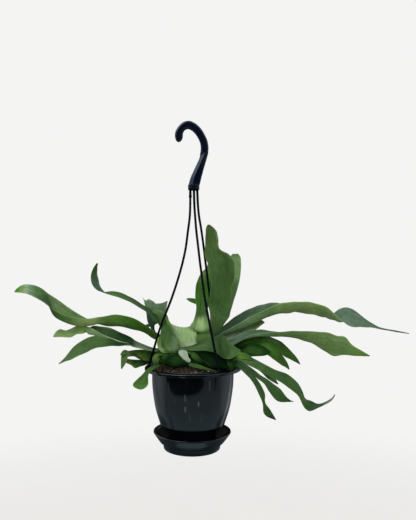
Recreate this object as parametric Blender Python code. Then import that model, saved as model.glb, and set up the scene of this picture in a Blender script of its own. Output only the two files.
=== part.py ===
"""A staghorn fern in a hanging pot: pot, clip-on saucer, three hanger strands, hook, potting mix,
rhizome and fronds.

Metres, +Z up.  The origin is where the hook bears on whatever it hangs from.  The pieces are drawn
in millimetres from the centre of the pot's rim plane, which is RIM_DROP below the origin.
"""

import math

import bmesh
import bpy
import numpy as np

MM = 0.001

# Driving dimensions, millimetres
RIM_DROP = 370.4  # hook bearing point to rim plane
HOOK_OFFSET = 8.75  # the bearing point is this far to the left of the pot's axis
RIM_RADIUS = 75.0
RIM_LIP = 4.2
WALL = 1.6
POT_RADIUS = 63.4  # under the rim flange
POT_DEPTH = 87.2
NECK_RADIUS = 36.6  # ring under the pot, which stands in the saucer
NECK_FOOT = 121.9
SAUCER_RADIUS = 59.7
SAUCER_TOP = 99.4
SAUCER_BASE = 126.4
ANCHOR_RADIUS = 69.0  # strand holes in the rim flange
ANCHOR_ANGLES = {"left": 180.0, "front_right": -55.0, "back_right": 55.0}
ANCHOR_HOLE = 2.1
STRAND_RADIUS = 1.45
COLLAR_RADIUS = 8.9
COLLAR_CENTRE = 1.1
COLLAR_BASE = 275.2
COLLAR_TOP = 283.6
SOCKET_RADIUS = 1.9
SOCKETS = {"left": (-4.2, 0.0), "front_right": (1.6, -4.2), "back_right": (6.6, 2.6)}
HOOK_DEPTH = 8.6
FROND_THICKNESS = 1.6
ROUND = 32  # sides of the pot and saucer

# Fronds are drawn on a front sheet of 1.5625 mm squares.  A point is (column, row, depth):
# columns run to the right, rows run down, and depth is in millimetres behind the pot's axis
# (negative is in front of it).  A row of a blade is (one edge, the other edge[, mid-line]).
FRONDS = {
    "frond_left_long": dict(bow=0.10, rows=[
        ((170, 341, 8), (172, 346, 15)),
        ((162, 335.5, 6), (163, 342, 15)),
        ((155, 331.6, 4), (154, 339, 14)),
        ((148, 326.8, -5), (148, 334.6, 9)),
        ((134, 318.5, -22), (134, 329.5, -3)),
        ((118, 314.8, -34), (119, 326.5, -12)),
        ((101, 316.8, -41), (101, 324.9, -20)),
        ((88, 318.5, -46), (85, 317.6, -24), (89, 325.2, -38)),
        ((75, 317.6, -52), (77, 313.2, -24), (76, 325.3, -42)),
        ((64, 315.4, -56), (67, 306.2, -24), (64, 321.8, -44)),
        ((54.5, 311.5, -56), (58, 300, -26), (54, 315.8, -46)),
        ((48.2, 305.5, -54), (48.5, 293.6, -30)),
        ((40, 300.3, -52), (41, 288.2, -32)),
        ((31, 294.9, -52), (32, 284.7, -36)),
        ((22, 292.6, -52), (22.5, 285.6, -40)),
        ((15, 291.8, -50), (15.6, 291.0, -48))]),
    "frond_left_upper": dict(bow=0.12, rows=[
        ((176, 351, 26), (179, 348, 32)),
        ((169, 338, 20), (171, 333, 28)),
        ((160.3, 326.5, 10), (162, 320, 21)),
        ((150, 314.2, 3), (150.5, 309.3, 16)),
        ((140, 307.4, -2), (140, 303, 12)),
        ((130, 301.6, -4), (130, 296.8, 10)),
        ((119, 297.4, -5), (120, 292.6, 8)),
        ((110, 294.6, -4), (111, 291.1, 7)),
        ((103.6, 291.2, 0), (104, 292.0, 6)),
        ((100.2, 286, 2), (98, 290.5, 4)),
        ((98, 277.5, 2), (91.4, 282.5, -6)),
        ((96.9, 271, 2), (91.4, 273, -8)),
        ((98, 263.6, -2), (97, 262.9, -5))]),
    "frond_left_forked": dict(bow=0.15, rows=[
        ((166, 354, 10), (166, 351, 16)),
        ((152.5, 351, 4.5), (151.5, 347.2, 11)),
        ((141, 348.6, -12), (141, 343.2, 2)),
        ((131, 345.6, -28), (131, 337.6, -8), (130, 343.8, -22))],
        lobes=[
            dict(bow=0.10, rows=[
                ((118, 345.7, -38), (118, 341.6, -33)),
                ((106, 346.4, -47), (106, 337.2, -36)),
                ((96, 347.6, -53), (96, 334.9, -38)),
                ((84, 352.6, -58), (85, 338.2, -40)),
                ((73, 357.6, -60), (75, 343.6, -44)),
                ((66, 360.2, -60), (67.8, 353.4, -49)),
                ((58.5, 363.3, -58), (59.3, 362.3, -56))]),
            dict(bow=0.08, rows=[
                ((117, 341.2, -30), (118, 331.7, -12)),
                ((107, 337.4, -34), (107, 328.9, -14)),
                ((99, 333.8, -36), (97, 326.5, -18)),
                ((94.6, 331.2, -35), (91.6, 326.9, -20)),
                ((91, 328.4, -33), (94.2, 334.4, -24)),
                ((85.5, 326.6, -30), (87, 332.4, -34)),
                ((77, 325.6, -28), (76, 334.6, -40)),
                ((68, 329.8, -30), (69, 337.2, -44)),
                ((60.5, 328.9, -34), (60, 336.7, -46)),
                ((54, 336.2, -44), (54.3, 336.9, -46))])]),
    "frond_left_upright": dict(bow=0.06, rows=[
        ((168, 345, 35), (172, 344, 42)),
        ((156, 334, 30), (160, 336, 40)),
        ((151.3, 328.6, 31), (155.2, 330.8, 39)),
        ((148, 322, 35), (155.4, 323.0, 43)),
        ((146.2, 313, 40), (163.6, 316.5, 54)),
        ((145, 306, 43), (166.4, 308.4, 58), (155.2, 303.6, 51))],
        lobes=[
            dict(bow=0.04, rows=[
                ((144.1, 301.4, 44), (153.5, 301.4, 50), (147.6, 301.4, 46)),
                ((142.6, 297.4, 45), (148.4, 298.8, 49), (145.2, 300.5, 46))]),
            dict(bow=0.04, rows=[
                ((160, 303.4, 54), (167, 305.2, 60)),
                ((166.6, 300.9, 62), (167.5, 300.8, 62.5))])]),
    "frond_rim_forked": dict(bow=0.12, rows=[
        ((160, 357, 4), (160, 353.4, 10)),
        ((152, 358.8, 6.5), (153, 351.6, 13)),
        ((146, 359.2, -4), (147, 350.5, 7)),
        ((138, 357.6, -18), (139, 350, -4)),
        ((129, 355.6, -30), (130, 351.2, -18), (129.5, 353, -26))],
        lobes=[
            dict(bow=0.05, rows=[
                ((126.6, 361.2, -36), (122.6, 355.4, -32)),
                ((124.4, 364.6, -40), (121.0, 361.0, -36)),
                ((122.2, 368.6, -42), (121.3, 368.2, -41))]),
            dict(bow=0.05, rows=[
                ((123.6, 354.8, -34), (124.4, 350.2, -28)),
                ((120.0, 355.4, -37), (120.4, 354.3, -36))])]),
    "frond_rim_lower": dict(bow=0.12, rows=[
        ((158, 362.6, 5), (158, 360.2, 10)),
        ((151, 362.4, 7), (151.5, 359.4, 12)),
        ((147, 363.2, 3), (147, 359.6, 9)),
        ((143, 364.8, -6), (143, 359.8, 4)),
        ((137, 367.8, -14), (136.4, 360, -2)),
        ((131, 364.8, -22), (131, 359.6, -10)),
        ((127.2, 362.6, -26), (126.6, 360.2, -20))]),
    "frond_rim_droop": dict(bow=0.14, rows=[
        ((160, 366.2, -40), (159, 364.4, -34)),
        ((154.5, 368.2, -52), (153, 365.9, -46)),
        ((149.6, 372.4, -60), (146.6, 369.6, -53)),
        ((148.2, 376.4, -65), (142.4, 374.6, -56)),
        ((148.0, 381, -67), (136.4, 380.0, -58)),
        ((147.2, 385.6, -67), (132.9, 384.4, -60)),
        ((143.2, 389.1, -66), (135.2, 387.9, -62)),
        ((140.6, 389.7, -64), (138.9, 389.4, -63))]),
    "shield_left": dict(bow=-0.12, rows=[
        ((180, 349.6, -6), (196.6, 346.6, -2)),
        ((176, 344, -2), (197, 342, 2)),
        ((173.5, 336, 4), (196.4, 336, 7)),
        ((171.5, 330, 11), (193, 331, 13)),
        ((173.4, 326.6, 15), (188.3, 327.4, 16))]),
    "frond_mid": dict(bow=0.10, rows=[
        ((197.5, 337, 13), (206, 337, 15)),
        ((190.4, 326.6, 18), (208.5, 327, 19)),
        ((193.8, 320.4, 24), (207.5, 319, 26)),
        ((196.2, 311, 31), (205.2, 311, 34)),
        ((195.6, 300, 37), (208.5, 300, 42)),
        ((195.3, 291, 41), (212, 291, 43)),
        ((197.3, 281, 44), (212.5, 281, 43)),
        ((201.5, 272.6, 45), (211.3, 273, 42)),
        ((208.4, 266.6, 43), (210, 266.6, 42))]),
    "frond_tall": dict(bow=0.10, rows=[
        ((211.5, 338, 20), (216, 339, 24)),
        ((210.4, 327, 22), (221, 328, 30)),
        ((210.4, 317, 24), (228.4, 318.5, 42), (220, 318, 34))],
        lobes=[
            dict(bow=0.10, rows=[
                ((208.6, 306, 26), (228.6, 307, 42), (219, 307, 36)),
                ((209.8, 295, 24), (230.8, 295, 42), (221, 295, 35)),
                ((211, 284, 22), (233.2, 284, 40)),
                ((210.8, 274, 20), (235, 273, 38)),
                ((208.0, 263.4, 17), (234.6, 261.5, 35)),
                ((205, 257.5, 15), (229.5, 254.8, 31)),
                ((205, 247, 13), (219.6, 248.6, 25)),
                ((205.7, 236, 12), (218.2, 237.5, 22)),
                ((206.2, 228.9, 12), (215.4, 229.4, 19)),
                ((208.6, 225.4, 13), (209.9, 225.2, 14))]),
            dict(bow=0.12, rows=[
                ((222, 312, 52), (231, 310, 58)),
                ((224, 301, 62), (234.4, 299, 68)),
                ((226, 288, 70), (238, 287, 76)),
                ((227, 275, 76), (240.6, 274, 82)),
                ((228, 263, 80), (241, 262, 88)),
                ((229.8, 254.6, 84), (239.8, 254.6, 90)),
                ((234, 249.8, 86), (236.8, 249.7, 88))])]),
    "frond_rear_tip": dict(bow=0.08, rows=[
        ((201, 338, 34), (205, 338, 36)),
        ((200, 324, 44), (206, 324, 48)),
        ((200, 312, 52), (207, 313, 56)),
        ((197, 304.6, 56), (202, 302, 60)),
        ((191, 302.4, 56), (195, 298.6, 60)),
        ((186.3, 298.9, 56), (187, 298.2, 57))]),
    "frond_front_left": dict(bow=-0.10, rows=[
        ((163, 351, -16), (178, 350.4, -13)),
        ((160.5, 345, -16), (178, 346, -13)),
        ((160, 336, -14), (176.3, 337, -10)),
        ((162.2, 327, -10), (172.3, 328.5, -8)),
        ((165.8, 318.4, -6), (167.6, 318.6, -5))]),
    "frond_front_yellow": dict(bow=0.10, rows=[
        ((170, 353.4, -21), (171.6, 351.4, -19)),
        ((163, 352.6, -24), (166, 349.6, -21)),
        ((157.6, 347, -26), (161.4, 346, -23)),
        ((157.2, 341, -26), (160.8, 340.4, -23)),
        ((158.8, 337, -25), (159.8, 337, -24))]),
    "frond_front_round": dict(bow=0.15, rows=[
        ((160.4, 353.8, -32), (160.6, 355.2, -29)),
        ((155.5, 354.3, -38), (158.5, 357, -34)),
        ((152.6, 358, -42), (158.6, 361, -38)),
        ((152.8, 363, -44), (157.2, 363.8, -42)),
        ((154.4, 364.8, -45), (155.6, 364.8, -44))]),
    "shield_front": dict(bow=0.12, rows=[
        ((179.6, 348.2, -24), (179.8, 349.2, -26)),
        ((189, 346.2, -21), (188, 350, -27)),
        ((199, 342.8, -17), (198, 350.6, -29)),
        ((209, 339.6, -15), (208, 351.6, -32)),
        ((217.5, 336.6, -16), (217, 354, -36)),
        ((224, 337.6, -20), (224, 358, -41)),
        ((231.5, 343.8, -31), (231.5, 358.2, -44)),
        ((237.5, 348.4, -37), (237, 355.4, -44)),
        ((240.9, 350.2, -40), (240.6, 351.6, -42))]),
    "frond_pale": dict(bow=0.12, rows=[
        ((178.8, 351, -30), (187, 351.4, -30)),
        ((180, 354.4, -34), (188.4, 354.8, -34)),
        ((183, 358, -38), (190.2, 358, -38)),
        ((185.6, 360.8, -41), (191.6, 360, -41)),
        ((187.6, 362.2, -42), (190.4, 362, -42))]),
    "frond_front_dark": dict(bow=0.12, rows=[
        ((160.6, 356.4, -27), (163.4, 353.8, -24)),
        ((163.6, 361.4, -35), (170.5, 355.2, -29)),
        ((171, 365.4, -42), (177, 356.4, -35)),
        ((178.6, 366, -46), (183, 359.4, -41)),
        ((186, 365, -48), (187, 363.2, -47))]),
    "frond_front_low": dict(bow=0.12, rows=[
        ((189.6, 363, -44), (189.6, 366, -48)),
        ((196, 363.8, -48), (195.6, 367.6, -52)),
        ((203, 366.2, -52), (202.4, 369.2, -55)),
        ((210, 368.8, -55), (209.6, 370.4, -57)),
        ((216.4, 371.2, -57.5), (216.0, 371.8, -58))]),
    "frond_front_deep": dict(bow=0.12, rows=[
        ((196, 354, -20), (199, 353, -19)),
        ((199, 360, -30), (203.5, 357, -27)),
        ((205, 364.0, -38), (209, 360.0, -34)),
        ((210, 367.0, -44), (212.6, 363.6, -40)),
        ((213.4, 368.6, -47), (214, 367.8, -46))]),
    "frond_right_long": dict(bow=0.10, rows=[
        ((213.5, 335, 8), (216.5, 337.6, -3), (215, 337.6, 3)),
        ((221, 327, 13), (224, 333, -6), (224, 333.8, 5)),
        ((232, 318.6, 16), (236, 326.6, -10), (236, 328.6, 3)),
        ((247, 310.3, 16), (250, 318.3, -15), (250, 322.4, -3)),
        ((261, 304.6, 12), (264, 310.6, -21), (264, 317.6, -9)),
        ((272, 302.6, 4), (275, 306.6, -26), (275, 314.8, -15)),
        ((280, 306.5, 1), (281.5, 302.8, -30), (281, 313.6, -20)),
        ((287, 312.4, -3), (288, 302.1, -34), (288, 308, -24)),
        ((300, 312.7, -8), (300, 301.8, -38)),
        ((312, 313.9, -14), (312, 302.9, -42)),
        ((323, 316.0, -20), (322.5, 304.6, -46)),
        ((331, 315.5, -26), (331, 311.2, -50), (331, 318.6, -40)),
        ((337, 310.8, -34), (339, 321.2, -54), (338, 316, -46)),
        ((344.6, 307.4, -40), (347, 324.2, -58)),
        ((352.4, 309.0, -44), (354, 327.3, -62)),
        ((361, 315.3, -50), (362, 327.0, -64)),
        ((370, 322.2, -56), (370.5, 327.6, -66)),
        ((380, 327.3, -62), (380, 328.6, -66)),
        ((395, 330.4, -68), (395, 331.4, -69)),
        ((409, 333.2, -72), (409, 333.8, -72.5))]),
    "frond_right_short": dict(bow=0.14, rows=[
        ((226, 338.6, 4), (227.6, 341.8, -2)),
        ((229, 332.6, 10), (230.5, 340.4, -6), (229.4, 337.6, 0)),
        ((236.5, 327.6, 13), (237, 338.4, -9)),
        ((245, 323.4, 12), (246, 332.4, -11)),
        ((254, 320.6, 9), (254, 329.4, -13)),
        ((260.6, 319.9, 4), (260, 325.5, -12)),
        ((264.2, 321.8, -4), (264, 322.6, -7))]),
    "frond_right_middle": dict(bow=0.12, rows=[
        ((227, 346.6, -14), (229.6, 349.6, -18), (228, 348.8, -15)),
        ((235, 337.8, -15), (234, 344.8, -25), (234, 344.4, -19)),
        ((246, 333, -16), (246, 337.2, -36), (246, 338.9, -27)),
        ((258, 330.6, -18), (259, 333.8, -42), (259, 336, -33)),
        ((270, 331.2, -22), (272, 332.8, -47), (272, 336.6, -38)),
        ((283, 336, -28), (284, 331.5, -51), (284, 335, -43)),
        ((296, 338.4, -35), (296, 330.9, -56)),
        ((308, 341.8, -41), (308, 331.4, -62)),
        ((318, 346.6, -47), (320, 331.9, -68)),
        ((326, 352, -52), (329, 332.8, -70)),
        ((333.5, 355.8, -58), (337, 335.8, -72)),
        ((342, 355.2, -62), (345, 336.7, -74)),
        ((351, 355.3, -66), (351.5, 344.2, -76)),
        ((361, 356.1, -70), (361, 350.2, -76)),
        ((369.6, 355.9, -73), (369.9, 355.4, -74))]),
    "frond_right_dark": dict(bow=0.12, rows=[
        ((232, 350.4, -12), (233, 352.6, -15)),
        ((241, 342.8, -14), (242, 351, -27)),
        ((252, 338.6, -17), (254, 350.4, -34)),
        ((264, 337.2, -20), (266, 354, -40), (264.6, 345.6, -32)),
        ((275, 339.7, -26), (273, 359.0, -45), (274, 349.4, -37)),
        ((281, 342.4, -30), (279.5, 363.6, -50), (280.2, 353.2, -42))],
        lobes=[
            dict(bow=0.08, rows=[
                ((287, 347.2, -34), (285.4, 357.2, -45)),
                ((293, 354.0, -40), (291.2, 359.4, -48)),
                ((297.7, 359.3, -45), (296.2, 361.8, -50)),
                ((300.0, 363.9, -50), (299.5, 364.0, -50.5))]),
            dict(bow=0.08, rows=[
                ((285, 359.4, -46), (282.6, 365.8, -53)),
                ((288, 364.4, -51), (286, 367.6, -56)),
                ((289.4, 369.1, -56), (288.8, 369.1, -56.5))])]),
    "frond_right_rounded": dict(bow=0.14, rows=[
        ((235, 354, -24), (236, 356.4, -28)),
        ((243, 346.4, -31), (244.4, 355.4, -42)),
        ((251, 342.6, -37), (253, 355.9, -51)),
        ((260, 344.8, -43), (261, 355.8, -56)),
        ((267, 348.4, -49), (266.6, 354.8, -58)),
        ((270.7, 351.6, -54), (270.5, 353, -57))]),
    "frond_right_lower": dict(bow=0.05, rows=[
        ((234, 357, -34), (233, 360, -37)),
        ((241, 354.4, -46), (240, 361.4, -52)),
        ((252, 357.6, -55), (251, 366.2, -63)),
        ((264, 364.0, -63), (262, 372.0, -71)),
        ((276, 370.0, -69), (272.6, 378.0, -77)),
        ((288, 374.6, -74), (284, 384.2, -84)),
        ((297, 382.2, -78), (292.4, 390.8, -90)),
        ((303, 392.4, -81), (299.8, 397.8, -93)),
        ((306.4, 399.4, -86), (304.8, 408.2, -96), (305.4, 403, -93)),
        ((311, 400.8, -88), (309.5, 411.2, -96)),
        ((317, 403.6, -90), (317.4, 408.2, -97)),
        ((324.6, 402.2, -92), (325.2, 404.0, -97)),
        ((331.4, 398.4, -94), (332.2, 399.8, -97)),
        ((334.6, 394.2, -94), (335.3, 394.6, -95))]),
    "frond_right_forked": dict(bow=0.10, rows=[
        ((236.6, 363, -50), (235.8, 365.6, -52)),
        ((245.4, 367.8, -60), (243, 371, -64)),
        ((252, 372, -66), (248.8, 375.6, -70), (250.4, 373.6, -67))],
        lobes=[
            dict(bow=0.08, rows=[
                ((260, 376.2, -70), (258.6, 378.6, -74)),
                ((267, 379.4, -74), (264.6, 383.0, -79)),
                ((274, 384.2, -78), (269.2, 390.6, -84)),
                ((280.4, 389.4, -82), (272.8, 397.8, -88)),
                ((285.4, 396.6, -86), (277.4, 401.6, -90)),
                ((292.4, 401.9, -90), (291.4, 401.6, -90.5))]),
            dict(bow=0.10, rows=[
                ((257.4, 378.6, -72), (252.4, 381.2, -78)),
                ((261.4, 385.8, -76), (256.4, 388.2, -82)),
                ((265, 393.8, -80), (259.9, 396.2, -85)),
                ((264.8, 401.4, -83), (261.9, 402.8, -87)),
                ((269.6, 409.6, -86), (264.0, 412.2, -90)),
                ((273, 414.6, -88), (267.6, 416.2, -91)),
                ((276.3, 419.8, -91), (275.4, 419.4, -91.5))])]),
    "frond_right_under": dict(bow=0.10, rows=[
        ((240, 358.6, -36), (239, 361.4, -40)),
        ((252, 362.4, -43), (251, 365.4, -47)),
        ((264, 369.2, -50), (262, 373.0, -54)),
        ((272, 375.0, -56), (268.8, 379.4, -59)),
        ((278.4, 383.6, -61), (277.6, 384.4, -62))]),
    "frond_right_rim": dict(bow=0.12, rows=[
        ((229, 358.6, -30), (234.6, 357.6, -26)),
        ((228.8, 362.4, -36), (236, 361.6, -32)),
        ((229.4, 366.2, -42), (235.6, 366, -38)),
        ((231.4, 369.4, -45), (234, 369.6, -44))]),
}
# Fronds that grow away behind the pot are set out by their spine, in millimetres from the
# centre of the rim plane: (x, y, z, width, roll in degrees).
REAR_FRONDS = {
    "frond_back_left": dict(bow=0.10, spine=[
        (-14, 26, 33, 7, 0), (-17, 52, 45, 14, 6), (-24, 88, 49, 24, 10), (-34, 122, 36, 30, 6), (-38, 146, 12, 32, 0)],
        lobes=[
            dict(bow=0.08, spine=[(-53, 162, -18, 17, -6), (-62, 176, -52, 15, -14), (-67, 186, -86, 2, -20)]),
            dict(bow=0.08, spine=[(-33, 163, -20, 18, 6), (-30, 174, -58, 16, 12), (-24, 178, -98, 2, 16)])]),
    "frond_back_middle": dict(bow=0.12, spine=[
        (4, 42, 36, 7, 0), (4, 70, 46, 15, -8), (2, 108, 46, 24, -10), (0, 146, 30, 28, -4), (0, 176, 0, 25, 4),
        (2, 196, -38, 20, 8), (6, 208, -74, 10, 10), (8, 214, -94, 1.6, 10)]),
    "frond_back_right": dict(bow=0.10, spine=[
        (26, 30, 42, 7, 0), (25, 60, 50, 12, 6), (34, 96, 50, 22, 10), (44, 130, 30, 29, 4), (49, 153, 3, 31, 0)],
        lobes=[
            dict(bow=0.08, spine=[(43, 168, -28, 17, -8), (38, 178, -64, 15, -12), (36, 184, -100, 2, -14)]),
            dict(bow=0.08, spine=[(60, 170, -28, 16, 8), (61, 184, -58, 13, 14), (60, 194, -84, 2, 18)])]),
    "frond_back_far_left": dict(bow=0.14, spine=[
        (-30, 44, 44, 6, 0), (-60, 62, 64, 10, 12), (-77, 78, 57, 11, 16), (-98, 98, 53, 13, 14), (-136, 128, 60, 15, 10),
        (-171, 150, 60, 13, 8), (-199, 166, 56, 2, 6)]),
    "frond_back_far_right": dict(bow=0.14, spine=[
        (48, 36, 44, 6, 0), (74, 64, 48, 11, -10), (112, 106, 44, 13, -14), (150, 146, 34, 14, -12), (178, 176, 29, 11, -8),
        (200, 198, 23, 2, -6)]),
    "frond_back_upright": dict(bow=0.10, spine=[
        (11, 67, 57, 7, 180), (17, 71, 90, 15, 180), (25, 78, 128, 21, 180), (32, 88, 163, 19, 180), (31, 99, 194, 2, 180)]),
    "shield_back_left": dict(bow=0.16, spine=[
        (-44, 44, 10, 20, 190), (-47, 53, 24, 28, 190), (-46, 61, 37, 26, 188), (-43, 67, 46, 12, 186)]),
    "shield_back_right": dict(bow=0.16, spine=[
        (14, 50, 7, 24, 176), (14, 57, 17, 32, 176), (13, 62, 26, 28, 178), (12, 66, 34, 12, 178)]),
}


SQUARE = 1.5625  # mm in one square of the sheet
AXIS_COLUMN = 193.0  # the pot's axis
EYE = (23.44, -800.0, 139.0)  # mm: a point is slid along its line from here to reach its depth
EYE_ROW = 277.2


def sheet_point(p):
    """A sheet point in millimetres, from the centre of the rim plane."""
    x = (p[0] - AXIS_COLUMN) * SQUARE
    z = EYE[2] - (p[1] - EYE_ROW) * SQUARE
    k = (p[2] - EYE[1]) / -EYE[1]
    return (EYE[0] + (x - EYE[0]) * k, p[2], EYE[2] + (z - EYE[2]) * k)


def slopes(s, p, before=None):
    """Slopes of a smooth curve through the points p at the distances s along it."""
    h = np.diff(s)[:, None]
    d = np.diff(p, axis=0) / h
    m = np.zeros_like(p)
    m[1:-1] = (d[:-1] * h[1:] + d[1:] * h[:-1]) / (h[1:] + h[:-1])
    m[0] = d[0] if len(d) == 1 else d[0] + (d[0] - d[1]) * h[0] / (h[0] + h[1])
    m[-1] = d[-1] if len(d) == 1 else d[-1] + (d[-1] - d[-2]) * h[-1] / (h[-1] + h[-2])
    if before is not None:
        back = np.linalg.norm(p[0] - before)
        m[0] = ((p[0] - before) / back * h[0] + d[0] * back) / (h[0] + back)
    return m


def curve_at(s, p, m, t):
    """Points at the distances t on the cubic curve with points p and slopes m."""
    i = np.clip(np.searchsorted(s, t, side="right") - 1, 0, len(s) - 2)
    h = (s[i + 1] - s[i])[:, None]
    x = (t - s[i])[:, None] / h
    return (
        p[i] * (2 * x**3 - 3 * x**2 + 1)
        + p[i + 1] * (3 * x**2 - 2 * x**3)
        + m[i] * h * (x**3 - 2 * x**2 + x)
        + m[i + 1] * h * (x**3 - x**2)
    )


def edges_of(frond, first=None):
    """Edge, mid-line and other edge of a blade at each of its rows, and its bow."""
    if "spine" in frond:
        spine = np.array(frond["spine"], float)
        centre = spine[:, :3]
        ahead = np.gradient(centre, axis=0)
        ahead /= np.linalg.norm(ahead, axis=1)[:, None]
        side = np.cross(ahead, (0.0, 0.0, 1.0))
        side[:, 2] = 0
        side += np.where(np.linalg.norm(side, axis=1) < 0.25, 1.0, 0.0)[:, None] * np.array((0.6, 0, 0))
        side -= ahead * (side * ahead).sum(1)[:, None]
        side /= np.linalg.norm(side, axis=1)[:, None]
        roll = np.radians(spine[:, 4])[:, None]
        side = side * np.cos(roll) + np.cross(ahead, side) * np.sin(roll)
        a = list(centre - side * spine[:, 3:4] / 2)
        b = list(centre + side * spine[:, 3:4] / 2)
        given = [None] * len(a)
    else:
        a = [np.array(sheet_point(row[0])) for row in frond["rows"]]
        b = [np.array(sheet_point(row[1])) for row in frond["rows"]]
        given = [np.array(sheet_point(row[2])) if len(row) > 2 else None for row in frond["rows"]]
    if first is not None:
        a, b, given = [first[0]] + a, [first[2]] + b, [first[1]] + given
    a, b = np.array(a), np.array(b)
    middle = (a + b) / 2
    ahead = np.gradient(middle, axis=0)
    out = np.cross(ahead, b - a)
    out /= np.maximum(np.linalg.norm(out, axis=1), 1e-9)[:, None]
    m = middle + frond["bow"] * np.linalg.norm(b - a, axis=1)[:, None] * out
    for i, point in enumerate(given):
        if point is not None:
            m[i] = point
    return a, m, b


def across(a, m, b, t):
    t = np.asarray(t)[:, None]
    return a * (1 - t) * (1 - 2 * t) + m * 4 * t * (1 - t) + b * t * (2 * t - 1)


def distances(s, step):
    """Distances along a blade: each row of its table, and evenly between rows longer than step."""
    out = []
    for lo, hi in zip(s[:-1], s[1:]):
        n = max(1, int(np.ceil((hi - lo) / step - 0.25)))
        out += list(lo + (hi - lo) * np.arange(n) / n)
    return np.array(out + [s[-1]])


def blade(frond, columns, step):
    """Points, quads and (distance from the base, 0..1 across) of a frond's mid-surface.

    A forked frond's last row is shared: one lobe grows from each half of it.
    """
    points, quads, place = [], [], []

    def strip(part, width, lo, hi, first=None, shared=None, before=(None, None), start=0.0):
        a, m, b = edges_of(part, first)
        s = np.concatenate([[0], np.cumsum(np.linalg.norm(np.diff((a + m + b) / 3, axis=0), axis=1))])
        t = distances(s, step)
        ca = curve_at(s, a, slopes(s, a, before[0]), t)
        cm = curve_at(s, m, slopes(s, m), t)
        cb = curve_at(s, b, slopes(s, b, before[1]), t)
        c = np.linspace(0, 1, width + 1)
        rows = []
        for i in range(len(t)):
            if i == 0 and shared is not None:
                rows.append(shared)
                continue
            rows.append(list(range(len(points), len(points) + width + 1)))
            points.extend(across(ca[i], cm[i], cb[i], c))
            place.extend([(start + t[i], lo + (hi - lo) * x) for x in c])
        for p, q in zip(rows[:-1], rows[1:]):
            for j in range(width):
                quads.append((p[j], q[j], q[j + 1], p[j + 1]))
        return rows[-1], ca, cb, start + t[-1]

    last, ca, cb, reach = strip(frond, columns, 0.0, 1.0)
    if "lobes" in frond:
        half = columns // 2
        for n, lobe in enumerate(frond["lobes"]):
            shared = last[:half + 1] if n == 0 else last[half:]
            first = (points[shared[0]], points[shared[half // 2]], points[shared[-1]])
            before = (ca[-2], None) if n == 0 else (None, cb[-2])
            strip(lobe, half, n * 0.5, n * 0.5 + 0.5, first, shared, before, reach)
    return np.array(points), quads, np.array(place)


def thicken(points, quads, thickness):
    """A closed shell of the given thickness, or of one thickness for each point."""
    normals = np.zeros_like(points)
    for q in quads:
        n = np.cross(points[q[2]] - points[q[0]], points[q[3]] - points[q[1]])
        normals[list(q)] += n / max(np.linalg.norm(n), 1e-9)
    normals /= np.maximum(np.linalg.norm(normals, axis=1), 1e-9)[:, None]
    half = np.broadcast_to(np.asarray(thickness, float) / 2, (len(points),))[:, None]
    both = np.concatenate([points + normals * half, points - normals * half])
    n = len(points)
    faces = [tuple(q) for q in quads] + [tuple(n + i for i in reversed(q)) for q in quads]
    rim = {}
    for q in quads:
        for a, b in zip(q, q[1:] + q[:1]):
            if (b, a) in rim:
                del rim[(b, a)]
            else:
                rim[(a, b)] = True
    faces += [(b, a, n + a, n + b) for a, b in rim]
    return both, faces


def material(name, colour, roughness, metallic=0.0):
    mat = bpy.data.materials.new(name)
    mat.use_nodes = True
    shader = mat.node_tree.nodes["Principled BSDF"]
    shader.inputs["Base Color"].default_value = (*colour, 1.0)
    shader.inputs["Roughness"].default_value = roughness
    shader.inputs["Metallic"].default_value = metallic
    mat.diffuse_color = (*colour, 1.0)
    return mat


for old in list(bpy.data.objects):
    bpy.data.objects.remove(old, do_unlink=True)

scene = bpy.context.scene
scene.unit_settings.system = "METRIC"
scene.unit_settings.scale_length = 1.0

hanging_point = bpy.data.objects.new("hanging_point", None)
scene.collection.objects.link(hanging_point)


def add(name, mesh, mat=None, cutter=False):
    """An object whose mesh is in rim-plane millimetres, scaled to metres and hung below the origin."""
    for vertex in mesh.vertices:
        vertex.co *= MM
    obj = bpy.data.objects.new(name, mesh)
    scene.collection.objects.link(obj)
    obj.location = (HOOK_OFFSET * MM, 0.0, -RIM_DROP * MM)
    obj.parent = hanging_point
    if mat is not None:
        mesh.materials.append(mat)
    if cutter:
        obj.hide_render = True
        obj.display_type = "WIRE"
    else:
        mesh.shade_smooth()
        mesh.set_sharp_from_angle(angle=math.radians(40))
    return obj


def mesh_of(name, points, faces):
    mesh = bpy.data.meshes.new(name)
    mesh.from_pydata([tuple(map(float, p)) for p in points], [], [tuple(f) for f in faces])
    mesh.validate()
    bm = bmesh.new()
    bm.from_mesh(mesh)
    bmesh.ops.remove_doubles(bm, verts=bm.verts, dist=0.002)
    bmesh.ops.recalc_face_normals(bm, faces=bm.faces)
    bm.to_mesh(mesh)
    bm.free()
    return mesh


def turned(name, profile, sides):
    """A closed profile of (radius, height) spun about the pot's axis."""
    bm = bmesh.new()
    ring = [bm.verts.new((r, 0.0, z)) for r, z in profile]
    closed = not (profile[0][0] == 0 and profile[-1][0] == 0)
    edges = [bm.edges.new((a, b)) for a, b in zip(ring, ring[1:])]
    if closed:
        edges.append(bm.edges.new((ring[-1], ring[0])))
    bmesh.ops.spin(bm, geom=ring + edges, cent=(0, 0, 0), axis=(0, 0, 1), angle=2 * math.pi, steps=sides, use_merge=True)
    bmesh.ops.remove_doubles(bm, verts=bm.verts, dist=0.002)
    bmesh.ops.recalc_face_normals(bm, faces=bm.faces)
    mesh = bpy.data.meshes.new(name)
    bm.to_mesh(mesh)
    bm.free()
    return mesh


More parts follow.
